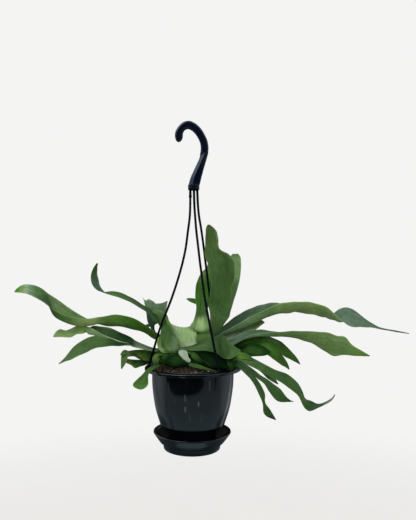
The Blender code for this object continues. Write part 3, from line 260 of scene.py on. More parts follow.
# ---------------------------------------------------------------------------------------------
# Fronds are drawn on a front sheet of 1.5625 mm squares.  A point is (column, row, depth):
# columns run to the right, rows run down, and depth is in millimetres behind the pot's axis
# (negative is in front of it).  A row of a blade is (one edge, the other edge[, mid-line]).
FRONDS = {
    "frond_left_long": dict(bow=0.10, rows=[
        ((170, 341, 8), (172, 346, 15)),
        ((162, 335.5, 6), (163, 342, 15)),
        ((155, 331.6, 4), (154, 339, 14)),
        ((148, 326.8, -5), (148, 334.6, 9)),
        ((134, 318.5, -22), (134, 329.5, -3)),
        ((118, 314.8, -34), (119, 326.5, -12)),
        ((101, 316.8, -41), (101, 324.9, -20)),
        ((88, 318.5, -46), (85, 317.6, -24), (89, 325.2, -38)),
        ((75, 317.6, -52), (77, 313.2, -24), (76, 325.3, -42)),
        ((64, 315.2, -56), (67, 306.2, -24), (64, 321.0, -44)),
        ((54.8, 311.0, -56), (58, 300, -26), (54.6, 315.0, -46)),
        ((48.2, 305.5, -54), (48.5, 293.6, -30)),
        ((40, 300.3, -52), (41, 288.2, -32)),
        ((31, 294.9, -52), (32, 284.7, -36)),
        ((22, 292.9, -52), (22.2, 285.1, -40)),
        ((14.4, 292.2, -50), (14.8, 290.6, -48))]),
    "frond_left_upper": dict(bow=0.12, rows=[
        ((176, 351, 26), (179, 348, 32)),
        ((169, 338, 20), (171, 333, 28)),
        ((160.3, 326.5, 10), (162, 320, 21)),
        ((150, 314.2, 3), (150.5, 309.3, 16)),
        ((140, 307.4, -2), (140, 303, 12)),
        ((130, 301.6, -4), (130, 296.8, 10)),
        ((119, 297.4, -5), (120, 292.6, 8)),
        ((110, 294.6, -4), (111, 291.1, 7)),
        ((103.6, 291.2, 0), (104, 292.0, 6)),
        ((100.2, 286, 2), (98, 290.5, 4)),
        ((98, 277.5, 2), (91.4, 282.5, -6)),
        ((96.9, 271, 2), (91.4, 273, -8)),
        ((98, 263.6, -2), (97, 262.9, -5))]),
    "frond_left_forked": dict(bow=0.15, rows=[
        ((166, 354, 10), (166, 351, 16)),
        ((152.5, 351, 4.5), (151.5, 347.2, 11)),
        ((141, 348.6, -12), (141, 343.2, 2)),
        ((131, 345.6, -28), (131, 337.6, -8), (130, 343.8, -22))],
        lobes=[
            dict(bow=0.10, rows=[
                ((118, 346.0, -38), (118, 341.4, -33)),
                ((108, 346.3, -47), (108, 337.9, -36)),
                ((98, 347.6, -53), (97, 335.8, -38)),
                ((84, 353.2, -58), (84, 339.4, -40)),
                ((73, 358.5, -60), (73.6, 347.0, -44)),
                ((66, 360.8, -60), (66, 356.0, -49)),
                ((58.6, 364.0, -58), (59.2, 363.2, -56))]),
            dict(bow=0.08, rows=[
                ((118, 340.4, -33), (118, 331.2, -12), (118, 342.0, -28)),
                ((108, 336.6, -37), (108, 327.4, -14), (108, 339.0, -31)),
                ((100, 332.9, -39), (99.5, 326.2, -18), (100, 336.8, -33)),
                ((94, 329.4, -39), (93, 326.0, -22), (94, 334.8, -35)),
                ((89.4, 327.0, -37), (88.6, 328.4, -28), (88.4, 333.6, -37)),
                ((84.6, 326.0, -34), (85.0, 332.6, -35)),
                ((77, 325.5, -28), (76, 334.4, -40)),
                ((70.6, 329.2, -29), (71, 337.2, -43)),
                ((65.6, 330.6, -31), (66, 337.4, -45)),
                ((60, 329.0, -34), (60.6, 337.0, -46)),
                ((53.2, 336.4, -44), (53.6, 337.2, -46))])]),
    "frond_left_upright": dict(bow=0.06, rows=[
        ((168, 345, 35), (172, 344, 42)),
        ((156, 334, 30), (160, 336, 40)),
        ((151.3, 328.6, 31), (155.2, 330.8, 39)),
        ((148, 322, 35), (155.4, 323.0, 43)),
        ((146.2, 313, 40), (163.6, 316.5, 54)),
        ((145, 306, 43), (166.4, 308.4, 58), (155.2, 303.6, 51))],
        lobes=[
            dict(bow=0.04, rows=[
                ((144.1, 301.4, 44), (153.5, 301.4, 50), (147.6, 301.4, 46)),
                ((142.6, 297.4, 45), (148.4, 298.8, 49), (145.2, 300.5, 46))]),
            dict(bow=0.04, rows=[
                ((160, 303.4, 54), (167, 305.2, 60)),
                ((166.6, 300.9, 62), (167.5, 300.8, 62.5))])]),
    "frond_rim_forked": dict(bow=0.12, rows=[
        ((160, 358.4, 4), (160, 353.0, 10)),
        ((152, 360.2, 6.5), (153, 351.0, 13)),
        ((146, 360.8, -4), (147, 349.9, 7)),
        ((139.6, 359.0, -16), (140, 349.6, -3)),
        ((133, 356.4, -26), (132.4, 350.2, -14)),
        ((128, 356.6, -31), (128.4, 351.2, -22), (128, 353.8, -28))],
        lobes=[
            dict(bow=0.05, rows=[
                ((127.4, 360.0, -36), (122.0, 354.4, -31)),
                ((126.0, 362.8, -39), (120.9, 360.4, -36)),
                ((123.8, 366.0, -41), (120.9, 365.0, -39)),
                ((122.0, 369.0, -42), (121.0, 368.6, -41))]),
            dict(bow=0.05, rows=[
                ((124.6, 354.8, -34), (124.4, 349.8, -28)),
                ((120.2, 355.4, -37), (121.2, 353.2, -36))])]),
    "frond_rim_lower": dict(bow=0.12, rows=[
        ((158, 363.6, 5), (158, 360.0, 10)),
        ((151, 363.2, 7), (151.5, 359.4, 12)),
        ((146.6, 364.4, 2), (147, 359.4, 9)),
        ((141, 366.4, -8), (141, 359.6, 4)),
        ((135.4, 368.0, -16), (135.8, 359.6, -2)),
        ((131.8, 365.2, -22), (131, 359.4, -10)),
        ((127.2, 363.2, -28), (126.4, 358.4, -20)),
        ((123.4, 360.4, -32), (123.2, 357.4, -28))]),
    "frond_rim_droop": dict(bow=0.14, rows=[
        ((160, 366.2, -40), (159, 364.4, -34)),
        ((154.5, 368.2, -52), (153, 365.9, -46)),
        ((149.6, 372.4, -60), (146.6, 369.6, -53)),
        ((148.2, 376.4, -65), (142.4, 374.6, -56)),
        ((148.0, 381, -67), (136.4, 380.0, -58)),
        ((147.2, 385.6, -67), (132.9, 384.4, -60)),
        ((143.2, 389.1, -66), (135.2, 387.9, -62)),
        ((140.6, 389.7, -64), (138.9, 389.4, -63))]),
    "shield_left": dict(bow=-0.12, rows=[
        ((180, 349.6, -6), (196.6, 346.6, -2)),
        ((176, 344, -2), (197, 342, 2)),
        ((173.5, 336, 4), (196.4, 336, 7)),
        ((170.6, 329, 11), (195, 330.6, 13)),
        ((170.0, 323.4, 16), (190.6, 325.8, 17), (181.5, 327.4, 14))]),
    "frond_mid": dict(bow=0.10, rows=[
        ((197.2, 341.5, 10), (210, 342, 14)),
        ((197.2, 335, 13), (209, 336, 16)),
        ((190.8, 327.2, 16), (209, 328.4, 18), (201, 331.5, 10)),
        ((193.4, 320.8, 24), (208.0, 319.4, 26)),
        ((196.2, 311, 31), (205.2, 311, 34)),
        ((195.6, 300, 37), (208.5, 300, 42)),
        ((195.3, 291, 41), (212, 291, 43)),
        ((197.3, 281, 44), (212.5, 281, 43)),
        ((201.5, 272.6, 45), (211.3, 273, 42)),
        ((208.4, 266.6, 43), (210, 266.6, 42))]),
    "frond_tall": dict(bow=0.10, rows=[
        ((208.5, 340, 19), (216.5, 340, 24)),
        ((209.8, 328, 22), (221.4, 329, 30)),
        ((210.4, 317, 24), (228.4, 318.5, 42), (220, 318, 34))],
        lobes=[
            dict(bow=0.10, rows=[
                ((208.6, 306, 26), (228.6, 307, 42), (219, 307, 36)),
                ((209.8, 295, 24), (230.8, 295, 42), (221, 295, 35)),
                ((211, 284, 22), (233.2, 284, 40)),
                ((210.8, 274, 20), (235, 273, 38)),
                ((208.0, 263.4, 17), (234.6, 261.5, 35)),
                ((205, 257.5, 15), (229.5, 254.8, 31)),
                ((205, 247, 13), (219.6, 248.6, 25)),
                ((205.7, 236, 12), (218.2, 237.5, 22)),
                ((205.9, 228.6, 12), (215.4, 229.4, 19)),
                ((207.8, 224.6, 13), (209.6, 224.6, 14))]),
            dict(bow=0.12, rows=[
                ((222, 312, 52), (231, 310, 58)),
                ((224, 301, 62), (234.4, 299, 68)),
                ((226, 288, 70), (238, 287, 76)),
                ((227, 275, 76), (240.6, 274, 82)),
                ((228, 263, 80), (241, 262, 88)),
                ((229.9, 257.0, 84), (240.4, 257.0, 90)),
                ((232.4, 253.9, 86), (238.2, 253.8, 88))])]),
    "frond_rear_tip": dict(bow=0.08, rows=[
        ((201, 338, 34), (205, 338, 36)),
        ((200, 324, 44), (206, 324, 48)),
        ((200, 312, 52), (207, 313, 56)),
        ((197, 304.6, 56), (202, 302, 60)),
        ((191, 302.4, 56), (195, 298.6, 60)),
        ((186.3, 298.9, 56), (187, 298.2, 57))]),
    "frond_front_left": dict(bow=-0.10, rows=[
        ((163, 351, -16), (178, 350.4, -13)),
        ((160.5, 345, -16), (178, 346, -13)),
        ((160, 336, -11), (176.3, 337, -10)),
        ((161.0, 328, -1), (172.6, 329.5, -4)),
        ((159.6, 321.6, 8), (169.4, 321.8, 6)),
        ((156.8, 315.8, 11), (165.2, 312.6, 12)),
        ((151.4, 312.0, 12), (154.6, 309.6, 14))]),
    "frond_front_yellow": dict(bow=0.10, rows=[
        ((170, 353.4, -21), (171.6, 351.4, -19)),
        ((163, 352.6, -24), (166, 349.6, -21)),
        ((157.6, 347, -26), (161.4, 346, -23)),
        ((157.2, 341, -26), (160.8, 340.4, -23)),
        ((158.8, 337, -25), (159.8, 337, -24))]),
    "frond_front_round": dict(bow=0.15, rows=[
        ((160.4, 353.8, -32), (160.6, 355.2, -29)),
        ((155.5, 354.3, -38), (158.5, 357, -34)),
        ((152.6, 358, -42), (158.6, 361, -38)),
        ((152.8, 363, -44), (157.2, 363.8, -42)),
        ((154.4, 364.8, -45), (155.6, 364.8, -44))]),
    "shield_front": dict(bow=0.12, rows=[
        ((179.6, 348.2, -24), (179.8, 349.2, -26)),
        ((189, 346.2, -21), (188, 350, -27)),
        ((199, 342.8, -17), (198, 350.6, -29)),
        ((209, 339.8, -15), (208, 350.8, -32)),
        ((217.5, 335.6, -16), (216, 352.8, -36)),
        ((222.4, 334.6, -20), (222, 357.4, -41), (223, 346, -38)),
        ((231.5, 343.8, -31), (230.5, 358.6, -44)),
        ((237.5, 348.4, -37), (237, 355.4, -44)),
        ((240.9, 350.2, -40), (240.6, 351.6, -42))]),
    "frond_pale": dict(bow=0.12, rows=[
        ((178.6, 351.6, -30), (187, 352.0, -30)),
        ((179.2, 354.4, -34), (187.7, 355.0, -34)),
        ((182.2, 358, -38), (189.0, 358, -38)),
        ((185.0, 360.8, -41), (190.8, 360.2, -41)),
        ((187.4, 362.4, -42), (190.2, 362.2, -42))]),
    "frond_front_dark": dict(bow=0.12, rows=[
        ((160.6, 356.4, -27), (163.4, 353.8, -24)),
        ((163.6, 361.4, -35), (170.5, 355.2, -29)),
        ((171, 365.4, -42), (177, 356.4, -35)),
        ((178.6, 366, -46), (183, 359.4, -41)),
        ((186, 365, -48), (187, 363.2, -47))]),
    "frond_front_low": dict(bow=0.12, rows=[
        ((189.6, 363, -44), (189.6, 366, -48)),
        ((196, 363.8, -48), (195.6, 367.6, -52)),
        ((203, 366.2, -52), (202.4, 369.2, -55)),
        ((210, 368.8, -55), (209.6, 370.4, -57)),
        ((216.4, 371.2, -57.5), (216.0, 371.8, -58))]),
    "frond_front_deep": dict(bow=0.12, rows=[
        ((196, 354, -20), (199, 353, -19)),
        ((199, 360, -30), (203.5, 357, -27)),
        ((205, 364.0, -38), (209, 360.0, -34)),
        ((210, 367.0, -44), (212.6, 363.6, -40)),
        ((213.4, 368.6, -47), (214, 367.8, -46))]),
    "frond_right_long": dict(bow=0.10, rows=[
        ((213.5, 335, 8), (216.5, 337.6, -3), (215, 337.6, 3)),
        ((220.9, 328.2, 13), (222.4, 333.0, -6), (222.4, 335.0, 5)),
        ((232.6, 318.5, 16), (234, 326.2, -10), (235, 331.0, 3)),
        ((247.4, 309.8, 16), (249, 317.2, -15), (250, 324.8, -3)),
        ((261, 304.9, 12), (263, 310.8, -21), (264, 318.2, -9)),
        ((272, 302.8, 4), (274, 305.2, -26), (275, 314.2, -15)),
        ((281, 303.6, -2), (281.6, 303.0, -30), (282, 312.9, -20)),
        ((288, 308.6, -5), (288, 302.4, -34), (288.6, 312.4, -23)),
        ((298, 312.4, -8), (298, 301.8, -38), (298, 308.6, -27)),
        ((311, 314.0, -14), (311, 302.4, -42)),
        ((322.6, 316.8, -21), (322, 305.2, -46)),
        ((329.6, 316.6, -28), (329.2, 308.8, -50), (329.6, 318.3, -39)),
        ((334, 312.8, -34), (334.8, 313.8, -53), (335.2, 319.8, -45)),
        ((338, 309.7, -37), (339.6, 318.4, -55), (339.8, 321.4, -49)),
        ((344.6, 307.4, -40), (346, 323.8, -58)),
        ((352.4, 309.0, -44), (354, 327.1, -62)),
        ((361, 315.3, -50), (362, 326.9, -64)),
        ((370, 322.2, -56), (370.5, 327.4, -66)),
        ((380, 327.3, -62), (380, 328.6, -66)),
        ((395, 330.4, -68), (395, 331.4, -69)),
        ((409, 333.2, -72), (409, 333.8, -72.5))]),
    "frond_right_short": dict(bow=0.14, rows=[
        ((223.6, 337.4, 4), (226.2, 342.6, -2)),
        ((228.4, 331.6, 10), (230.5, 341.6, -6), (229.4, 338.0, 0)),
        ((236.5, 327.2, 13), (237, 339.4, -9)),
        ((245, 323.4, 12), (246, 334.0, -11)),
        ((254, 320.4, 9), (254.6, 329.8, -13)),
        ((261, 319.7, 4), (260.4, 325.7, -12)),
        ((264.4, 321.8, -4), (264.4, 322.6, -7))]),
    "frond_right_middle": dict(bow=0.12, rows=[
        ((223.6, 342.0, -14), (228, 347.4, -18), (226, 345.8, -15)),
        ((234, 336.4, -15), (235, 343.6, -25), (235, 342.8, -19)),
        ((246, 331.2, -16), (246, 336.8, -36), (246, 337.8, -27)),
        ((258, 329.6, -18), (259, 333.4, -42), (259, 335.6, -33)),
        ((270, 330.8, -22), (272, 332.4, -47), (272, 336.4, -38)),
        ((283, 333.6, -28), (284, 331.6, -51), (284, 336.2, -43)),
        ((296, 338.2, -35), (296, 330.9, -56)),
        ((308, 341.8, -41), (308, 331.4, -62)),
        ((318, 346.6, -47), (320, 331.9, -68)),
        ((326, 352, -52), (329, 332.8, -70)),
        ((333.5, 355.8, -58), (337, 335.8, -72)),
        ((342, 355.2, -62), (345, 336.7, -74)),
        ((351, 355.3, -66), (351.5, 344.2, -76)),
        ((361, 356.1, -70), (361, 350.2, -76)),
        ((369.6, 355.9, -73), (369.9, 355.4, -74))]),
    "frond_right_dark": dict(bow=0.12, rows=[
        ((230, 347.6, -12), (232, 352.6, -15)),
        ((240, 340.2, -14), (242, 351, -27)),
        ((251, 335.6, -17), (254, 350.4, -34)),
        ((263, 334.8, -20), (266, 354, -40), (264.6, 344.6, -32)),
        ((274.4, 338.4, -26), (273, 359.0, -45), (274, 348.8, -37)),
        ((281, 341.8, -30), (279.5, 363.6, -50), (280.2, 353.0, -42))],
        lobes=[
            dict(bow=0.08, rows=[
                ((287, 346.8, -34), (285.4, 357.2, -45)),
                ((293.4, 353.6, -40), (291.2, 359.6, -48)),
                ((297.9, 359.3, -45), (296.2, 362.2, -50)),
                ((300.4, 364.1, -50), (299.7, 364.3, -50.5))]),
            dict(bow=0.08, rows=[
                ((285.4, 359.4, -46), (282.6, 365.8, -53)),
                ((288.2, 364.4, -51), (286, 367.6, -56)),
                ((289.6, 369.3, -56), (288.8, 369.3, -56.5))])]),
    "frond_right_rounded": dict(bow=0.14, rows=[
        ((235, 354, -24), (236, 356.4, -28)),
        ((243, 345.4, -31), (244.4, 355.6, -42)),
        ((251, 342.0, -37), (253, 356.2, -51)),
        ((260, 344.4, -43), (261, 356.0, -56)),
        ((267, 348.4, -49), (266.6, 354.8, -58)),
        ((270.7, 351.6, -54), (270.5, 353, -57))]),
    "frond_right_lower": dict(bow=0.05, rows=[
        ((234, 357, -34), (233, 360, -37)),
        ((241, 354.4, -46), (240, 361.4, -52)),
        ((252, 357.6, -55), (251, 366.2, -63)),
        ((264, 364.0, -63), (262, 372.0, -71)),
        ((276, 370.0, -69), (272.6, 378.0, -77)),
        ((288, 374.6, -74), (284, 384.2, -84)),
        ((297, 382.2, -78), (292.4, 390.8, -90)),
        ((303, 392.4, -81), (299.8, 397.8, -93)),
        ((306.4, 399.4, -86), (304.8, 408.2, -96), (305.4, 403, -93)),
        ((311, 400.8, -88), (309.5, 411.2, -96)),
        ((317, 403.6, -90), (317.4, 408.2, -97)),
        ((324.6, 402.2, -92), (325.2, 404.0, -97)),
        ((331.4, 398.4, -94), (332.2, 399.8, -97)),
        ((334.6, 394.2, -94), (335.3, 394.6, -95))]),
    "frond_right_forked": dict(bow=0.10, rows=[
        ((238, 360.2, -50), (236, 366.0, -52)),
        ((246.4, 364.4, -60), (243, 371.6, -64)),
        ((254.8, 370.4, -66), (248.8, 377.2, -70), (251.4, 373.4, -67))],
        lobes=[
            dict(bow=0.08, rows=[
                ((260.8, 375.2, -70), (257.4, 378.8, -74)),
                ((267.4, 379.2, -74), (264.4, 383.8, -79)),
                ((274.2, 384.4, -78), (268.9, 391.2, -84)),
                ((280.8, 389.4, -82), (273.2, 397.4, -88)),
                ((286.2, 396.6, -86), (278.2, 401.2, -90)),
                ((293.6, 401.4, -90), (292.2, 401.2, -90.5))]),
            dict(bow=0.10, rows=[
                ((256.8, 378.8, -72), (251.8, 381.2, -78)),
                ((261.6, 386.4, -76), (256.6, 388.6, -82)),
                ((265, 394.4, -80), (260.2, 396.8, -85)),
                ((265.2, 402.2, -83), (262.6, 403.8, -87)),
                ((270.0, 409.4, -86), (264.0, 413.2, -90)),
                ((273.2, 414.6, -88), (267.6, 416.8, -91)),
                ((276.3, 420.0, -91), (275.2, 419.6, -91.5))])]),
    "frond_right_under": dict(bow=0.10, rows=[
        ((240, 358.6, -36), (239, 361.4, -40)),
        ((252, 362.4, -43), (251, 365.4, -47)),
        ((264, 369.2, -50), (262, 373.0, -54)),
        ((272, 375.0, -56), (268.8, 379.4, -59)),
        ((278.4, 383.6, -61), (277.6, 384.4, -62))]),
    "frond_right_rim": dict(bow=0.12, rows=[
        ((225, 356.6, -28), (237.6, 356.0, -24)),
        ((226.8, 361.4, -36), (239, 361.0, -32)),
        ((228.4, 366.2, -42), (237.6, 366, -38)),
        ((230.4, 369.8, -45), (234, 370.0, -44))]),
}
# Small fronds low in the crown, on the same sheet.  Most are painted near-black, as painted shade: they fill the
# shadowed hollows of the crown between the stalks.
CROWN_FRONDS = {
    "crown_leaf_right": dict(bow=0.14, rows=[
        ((199, 348.6, -6), (209, 348, -6)),
        ((195.0, 353, -16), (215, 351.4, -16)),
        ((198, 359, -28), (220.4, 356.4, -28)),
        ((205, 364.4, -38), (225, 362.2, -37)),
        ((214, 367.4, -45), (228.4, 366.8, -43)),
        ((223, 368.6, -47), (229, 368.2, -46))]),
    "crown_leaf_middle": dict(bow=0.12, rows=[
        ((186, 349, -2), (197, 349, -2)),
        ((184.4, 354.6, -14), (201, 353.4, -14)),
        ((187, 360.6, -26), (205, 359.4, -26)),
        ((193, 364.8, -34), (207, 364.8, -34)),
        ((200, 366.4, -37), (206, 366.6, -37))]),
    "crown_leaf_fore": dict(bow=0.10, rows=[
        ((188.4, 351, -17), (191.6, 350.2, -15)),
        ((190.4, 355.8, -28), (195.2, 353.2, -26)),
        ((194.8, 360.4, -37), (199.8, 357.4, -35)),
        ((200.4, 364.4, -42), (204.4, 361.8, -41)),
        ((207.4, 366.8, -45), (208.4, 366.2, -45))]),
    "crown_leaf_bright": dict(bow=0.12, rows=[
        ((184.8, 350.4, -20), (190.4, 349.6, -18)),
        ((187.0, 353.4, -27), (191.4, 352.6, -25)),
        ((190.4, 355.8, -29), (191.4, 355.2, -29))]),
    "crown_leaf_left": dict(bow=0.12, rows=[
        ((161, 353.4, -8), (164, 350.8, -6)),
        ((165.4, 357.6, -20), (170.4, 353.4, -18)),
        ((171, 360.4, -28), (175.6, 356.6, -26)),
        ((177.4, 361.4, -32), (179, 359.8, -32))]),
    "crown_leaf_edge": dict(bow=0.12, rows=[
        ((219, 351, -10), (238, 350.6, -8)),
        ((217, 357, -20), (240, 355.8, -18)),
        ((219.4, 363, -30), (240.4, 362, -28)),
        ((223.4, 367.2, -37), (238, 367.6, -35)),
        ((228.4, 369.4, -40), (235, 369.8, -39))]),
    "crown_leaf_rear": dict(bow=0.12, rows=[
        ((156, 352.6, 2), (168, 350.8, 2)),
        ((158.4, 358.8, -8), (180, 352.2, -8)),
        ((163.4, 363.8, -20), (184, 357.2, -20)),
        ((171.4, 366.2, -30), (187, 362.2, -30)),
        ((180.4, 366.8, -34), (189, 365.2, -34))]),
    "crown_leaf_lime": dict(bow=0.12, rows=[
        ((235, 356.4, -38), (235.6, 359.6, -41)),
        ((240.0, 352.6, -47), (241.6, 358.8, -52)),
        ((246.6, 353.8, -52), (247.4, 359.4, -57)),
        ((253.2, 358.6, -57), (253.8, 360.4, -59))]),
    "crown_tip_left": dict(bow=0.12, rows=[
        ((168, 326, 0), (172.4, 327, 1)),
        ((166.2, 320.6, 2), (169.8, 321.8, 3)),
        ((165.0, 317.0, 3), (165.9, 317.2, 3.5))]),
    "crown_leaf_socket": dict(bow=0.12, rows=[
        ((196.6, 335.4, 2), (211.4, 334.2, 2)),
        ((196.8, 341.4, 0), (212.4, 340.6, 0)),
        ((200, 346.4, -4), (211.4, 346, -4))]),
}
# Fronds that grow away behind the pot are set out by their spine, in millimetres from the
# centre of the rim plane: (x, y, z, width, roll in degrees).
REAR_FRONDS = {
    "frond_back_left": dict(bow=0.10, spine=[
        (-14, 26, 33, 7, 0), (-17, 52, 45, 14, 6), (-24, 88, 49, 24, 10), (-34, 122, 36, 30, 6), (-38, 146, 12, 32, 0)],
        lobes=[
            dict(bow=0.08, spine=[(-53, 162, -18, 17, -6), (-62, 176, -52, 15, -14), (-67, 186, -86, 2, -20)]),
            dict(bow=0.08, spine=[(-33, 163, -20, 18, 6), (-30, 174, -58, 16, 12), (-24, 178, -98, 2, 16)])]),
    "frond_back_middle": dict(bow=0.12, spine=[
        (4, 42, 36, 7, 0), (4, 70, 46, 15, -8), (2, 108, 46, 24, -10), (0, 146, 30, 28, -4), (0, 176, 0, 25, 4),
        (2, 196, -38, 20, 8), (6, 208, -74, 10, 10), (8, 214, -94, 1.6, 10)]),
    "frond_back_right": dict(bow=0.10, spine=[
        (26, 30, 42, 7, 0), (25, 60, 50, 12, 6), (34, 96, 50, 22, 10), (44, 130, 30, 29, 4), (49, 153, 3, 31, 0)],
        lobes=[
            dict(bow=0.08, spine=[(43, 168, -28, 17, -8), (38, 178, -64, 15, -12), (36, 184, -100, 2, -14)]),
            dict(bow=0.08, spine=[(60, 170, -28, 16, 8), (61, 184, -58, 13, 14), (60, 194, -84, 2, 18)])]),
    "frond_back_far_left": dict(bow=0.14, spine=[
        (-30, 44, 44, 6, 0), (-60, 62, 64, 10, 12), (-77, 78, 57, 11, 16), (-98, 98, 53, 13, 14), (-136, 128, 60, 15, 10),
        (-171, 150, 60, 13, 8), (-199, 166, 56, 2, 6)]),
    "frond_back_far_right": dict(bow=0.14, spine=[
        (48, 36, 44, 6, 0), (74, 64, 48, 11, -10), (112, 106, 44, 13, -14), (150, 146, 34, 14, -12), (178, 176, 29, 11, -8),
        (200, 198, 23, 2, -6)]),
    "frond_back_upright": dict(bow=0.10, spine=[
        (11, 67, 57, 7, 180), (17, 71, 90, 15, 180), (25, 78, 128, 21, 180), (32, 88, 163, 19, 180), (31, 99, 194, 2, 180)]),
    "shield_back_left": dict(bow=0.16, spine=[
        (-44, 44, 10, 20, 190), (-47, 53, 24, 28, 190), (-46, 61, 37, 26, 188), (-43, 67, 46, 12, 186)]),
    "shield_back_right": dict(bow=0.16, spine=[
        (14, 50, 7, 24, 176), (14, 57, 17, 32, 176), (13, 62, 26, 28, 178), (12, 66, 34, 12, 178)]),
}


SQUARE = 1.5625  # mm in one square of the sheet
AXIS_COLUMN = 193.0  # the pot's axis
EYE = (23.44, -800.0, 139.0)  # mm: a point is slid along its line from here to reach its depth
EYE_ROW = 277.2


def sheet_point(p):
    """A sheet point in millimetres, from the centre of the rim plane."""
    x = (p[0] - AXIS_COLUMN) * SQUARE
    z = EYE[2] - (p[1] - EYE_ROW) * SQUARE
    k = (p[2] - EYE[1]) / -EYE[1]
    return (EYE[0] + (x - EYE[0]) * k, p[2], EYE[2] + (z - EYE[2]) * k)


def slopes(s, p, before=None):
    """Slopes of a smooth curve through the points p at the distances s along it."""
    h = np.diff(s)[:, None]
    d = np.diff(p, axis=0) / h
    m = np.zeros_like(p)
    m[1:-1] = (d[:-1] * h[1:] + d[1:] * h[:-1]) / (h[1:] + h[:-1])
    m[0] = d[0] if len(d) == 1 else d[0] + (d[0] - d[1]) * h[0] / (h[0] + h[1])
    m[-1] = d[-1] if len(d) == 1 else d[-1] + (d[-1] - d[-2]) * h[-1] / (h[-1] + h[-2])
    if before is not None:
        back = np.linalg.norm(p[0] - before)
        m[0] = ((p[0] - before) / back * h[0] + d[0] * back) / (h[0] + back)
    return m


def curve_at(s, p, m, t):
    """Points at the distances t on the cubic curve with points p and slopes m."""
    i = np.clip(np.searchsorted(s, t, side="right") - 1, 0, len(s) - 2)
    h = (s[i + 1] - s[i])[:, None]
    x = (t - s[i])[:, None] / h
    return (
        p[i] * (2 * x**3 - 3 * x**2 + 1)
        + p[i + 1] * (3 * x**2 - 2 * x**3)
        + m[i] * h * (x**3 - 2 * x**2 + x)
        + m[i + 1] * h * (x**3 - x**2)
    )


def edges_of(frond, first=None, root_of=None):
    """Edge, mid-line and other edge of a blade at each of its rows, and its bow."""
    if "spine" in frond:
        spine = np.array(frond["spine"], float)
        centre = spine[:, :3]
        ahead = np.gradient(centre, axis=0)
        ahead /= np.linalg.norm(ahead, axis=1)[:, None]
        side = np.cross(ahead, (0.0, 0.0, 1.0))
        side[:, 2] = 0
        side += np.where(np.linalg.norm(side, axis=1) < 0.25, 1.0, 0.0)[:, None] * np.array((0.6, 0, 0))
        side -= ahead * (side * ahead).sum(1)[:, None]
        side /= np.linalg.norm(side, axis=1)[:, None]
        roll = np.radians(spine[:, 4])[:, None]
        side = side * np.cos(roll) + np.cross(ahead, side) * np.sin(roll)
        a = list(centre - side * spine[:, 3:4] / 2)
        b = list(centre + side * spine[:, 3:4] / 2)
        given = [None] * len(a)
    else:
        a = [np.array(sheet_point(row[0])) for row in frond["rows"]]
        b = [np.array(sheet_point(row[1])) for row in frond["rows"]]
        given = [np.array(sheet_point(row[2])) if len(row) > 2 else None for row in frond["rows"]]
    if first is not None:
        a, b, given = [first[0]] + a, [first[2]] + b, [first[1]] + given
    if root_of is not None:
        centre = (a[0] + b[0]) / 2
        root = root_of(centre)
        a, b, given = [root + (a[0] - centre) * 0.55] + a, [root + (b[0] - centre) * 0.55] + b, [None] + given
    a, b = np.array(a), np.array(b)
    middle = (a + b) / 2
    ahead = np.gradient(middle, axis=0)
    out = np.cross(ahead, b - a)
    out /= np.maximum(np.linalg.norm(out, axis=1), 1e-9)[:, None]
    m = middle + frond["bow"] * np.linalg.norm(b - a, axis=1)[:, None] * out
    for i, point in enumerate(given):
        if point is not None:
            m[i] = point
    return a, m, b


def across(a, m, b, t):
    t = np.asarray(t)[:, None]
    return a * (1 - t) * (1 - 2 * t) + m * 4 * t * (1 - t) + b * t * (2 * t - 1)


def distances(s, step):
    """Distances along a blade: each row of its table, and evenly between rows longer than step."""
    out = []
    for lo, hi in zip(s[:-1], s[1:]):
        n = max(1, int(np.ceil((hi - lo) / step - 0.25)))
        out += list(lo + (hi - lo) * np.arange(n) / n)
    return np.array(out + [s[-1]])


def blade(frond, columns, step, root_of=None):
    """Points, quads and (distance from the base, 0..1 across the frond, 0..1 across the lobe) of a mid-surface.

    A forked frond's last row is shared: one lobe grows from each half of it.
    """
    points, quads, place = [], [], []

    def strip(part, width, lo, hi, first=None, shared=None, before=(None, None), start=0.0):
        a, m, b = edges_of(part, first, root_of if first is None else None)
        s = np.concatenate([[0], np.cumsum(np.linalg.norm(np.diff((a + m + b) / 3, axis=0), axis=1))])
        t = distances(s, step)
        ca = curve_at(s, a, slopes(s, a, before[0]), t)
        cm = curve_at(s, m, slopes(s, m), t)
        cb = curve_at(s, b, slopes(s, b, before[1]), t)
        c = np.linspace(0, 1, width + 1)
        rows = []
        for i in range(len(t)):
            if i == 0 and shared is not None:
                rows.append(shared)
                continue
            rows.append(list(range(len(points), len(points) + width + 1)))
            points.extend(across(ca[i], cm[i], cb[i], c))
            place.extend([(start + t[i], lo + (hi - lo) * x, x) for x in c])
        for p, q in zip(rows[:-1], rows[1:]):
            for j in range(width):
                quads.append((p[j], q[j], q[j + 1], p[j + 1]))
        return rows[-1], ca, cb, start + t[-1]

    last, ca, cb, reach = strip(frond, columns, 0.0, 1.0)
    if "lobes" in frond:
        half = columns // 2
        for n, lobe in enumerate(frond["lobes"]):
            shared = last[:half + 1] if n == 0 else last[half:]
            first = (points[shared[0]], points[shared[half // 2]], points[shared[-1]])
            before = (ca[-2], None) if n == 0 else (None, cb[-2])
            strip(lobe, half, n * 0.5, n * 0.5 + 0.5, first, shared, before, reach)
    return np.array(points), quads, np.array(place)


def normals_of(points, quads):
    q = np.array(quads)
    n = np.cross(points[q[:, 2]] - points[q[:, 0]], points[q[:, 3]] - points[q[:, 1]])
    n /= np.maximum(np.linalg.norm(n, axis=1), 1e-9)[:, None]
    normals = np.zeros_like(points)
    for k in range(4):
        np.add.at(normals, q[:, k], n)
    return normals / np.maximum(np.linalg.norm(normals, axis=1), 1e-9)[:, None]


# ---------------------------------------------------------------------------------------------
# Making pieces
# ---------------------------------------------------------------------------------------------


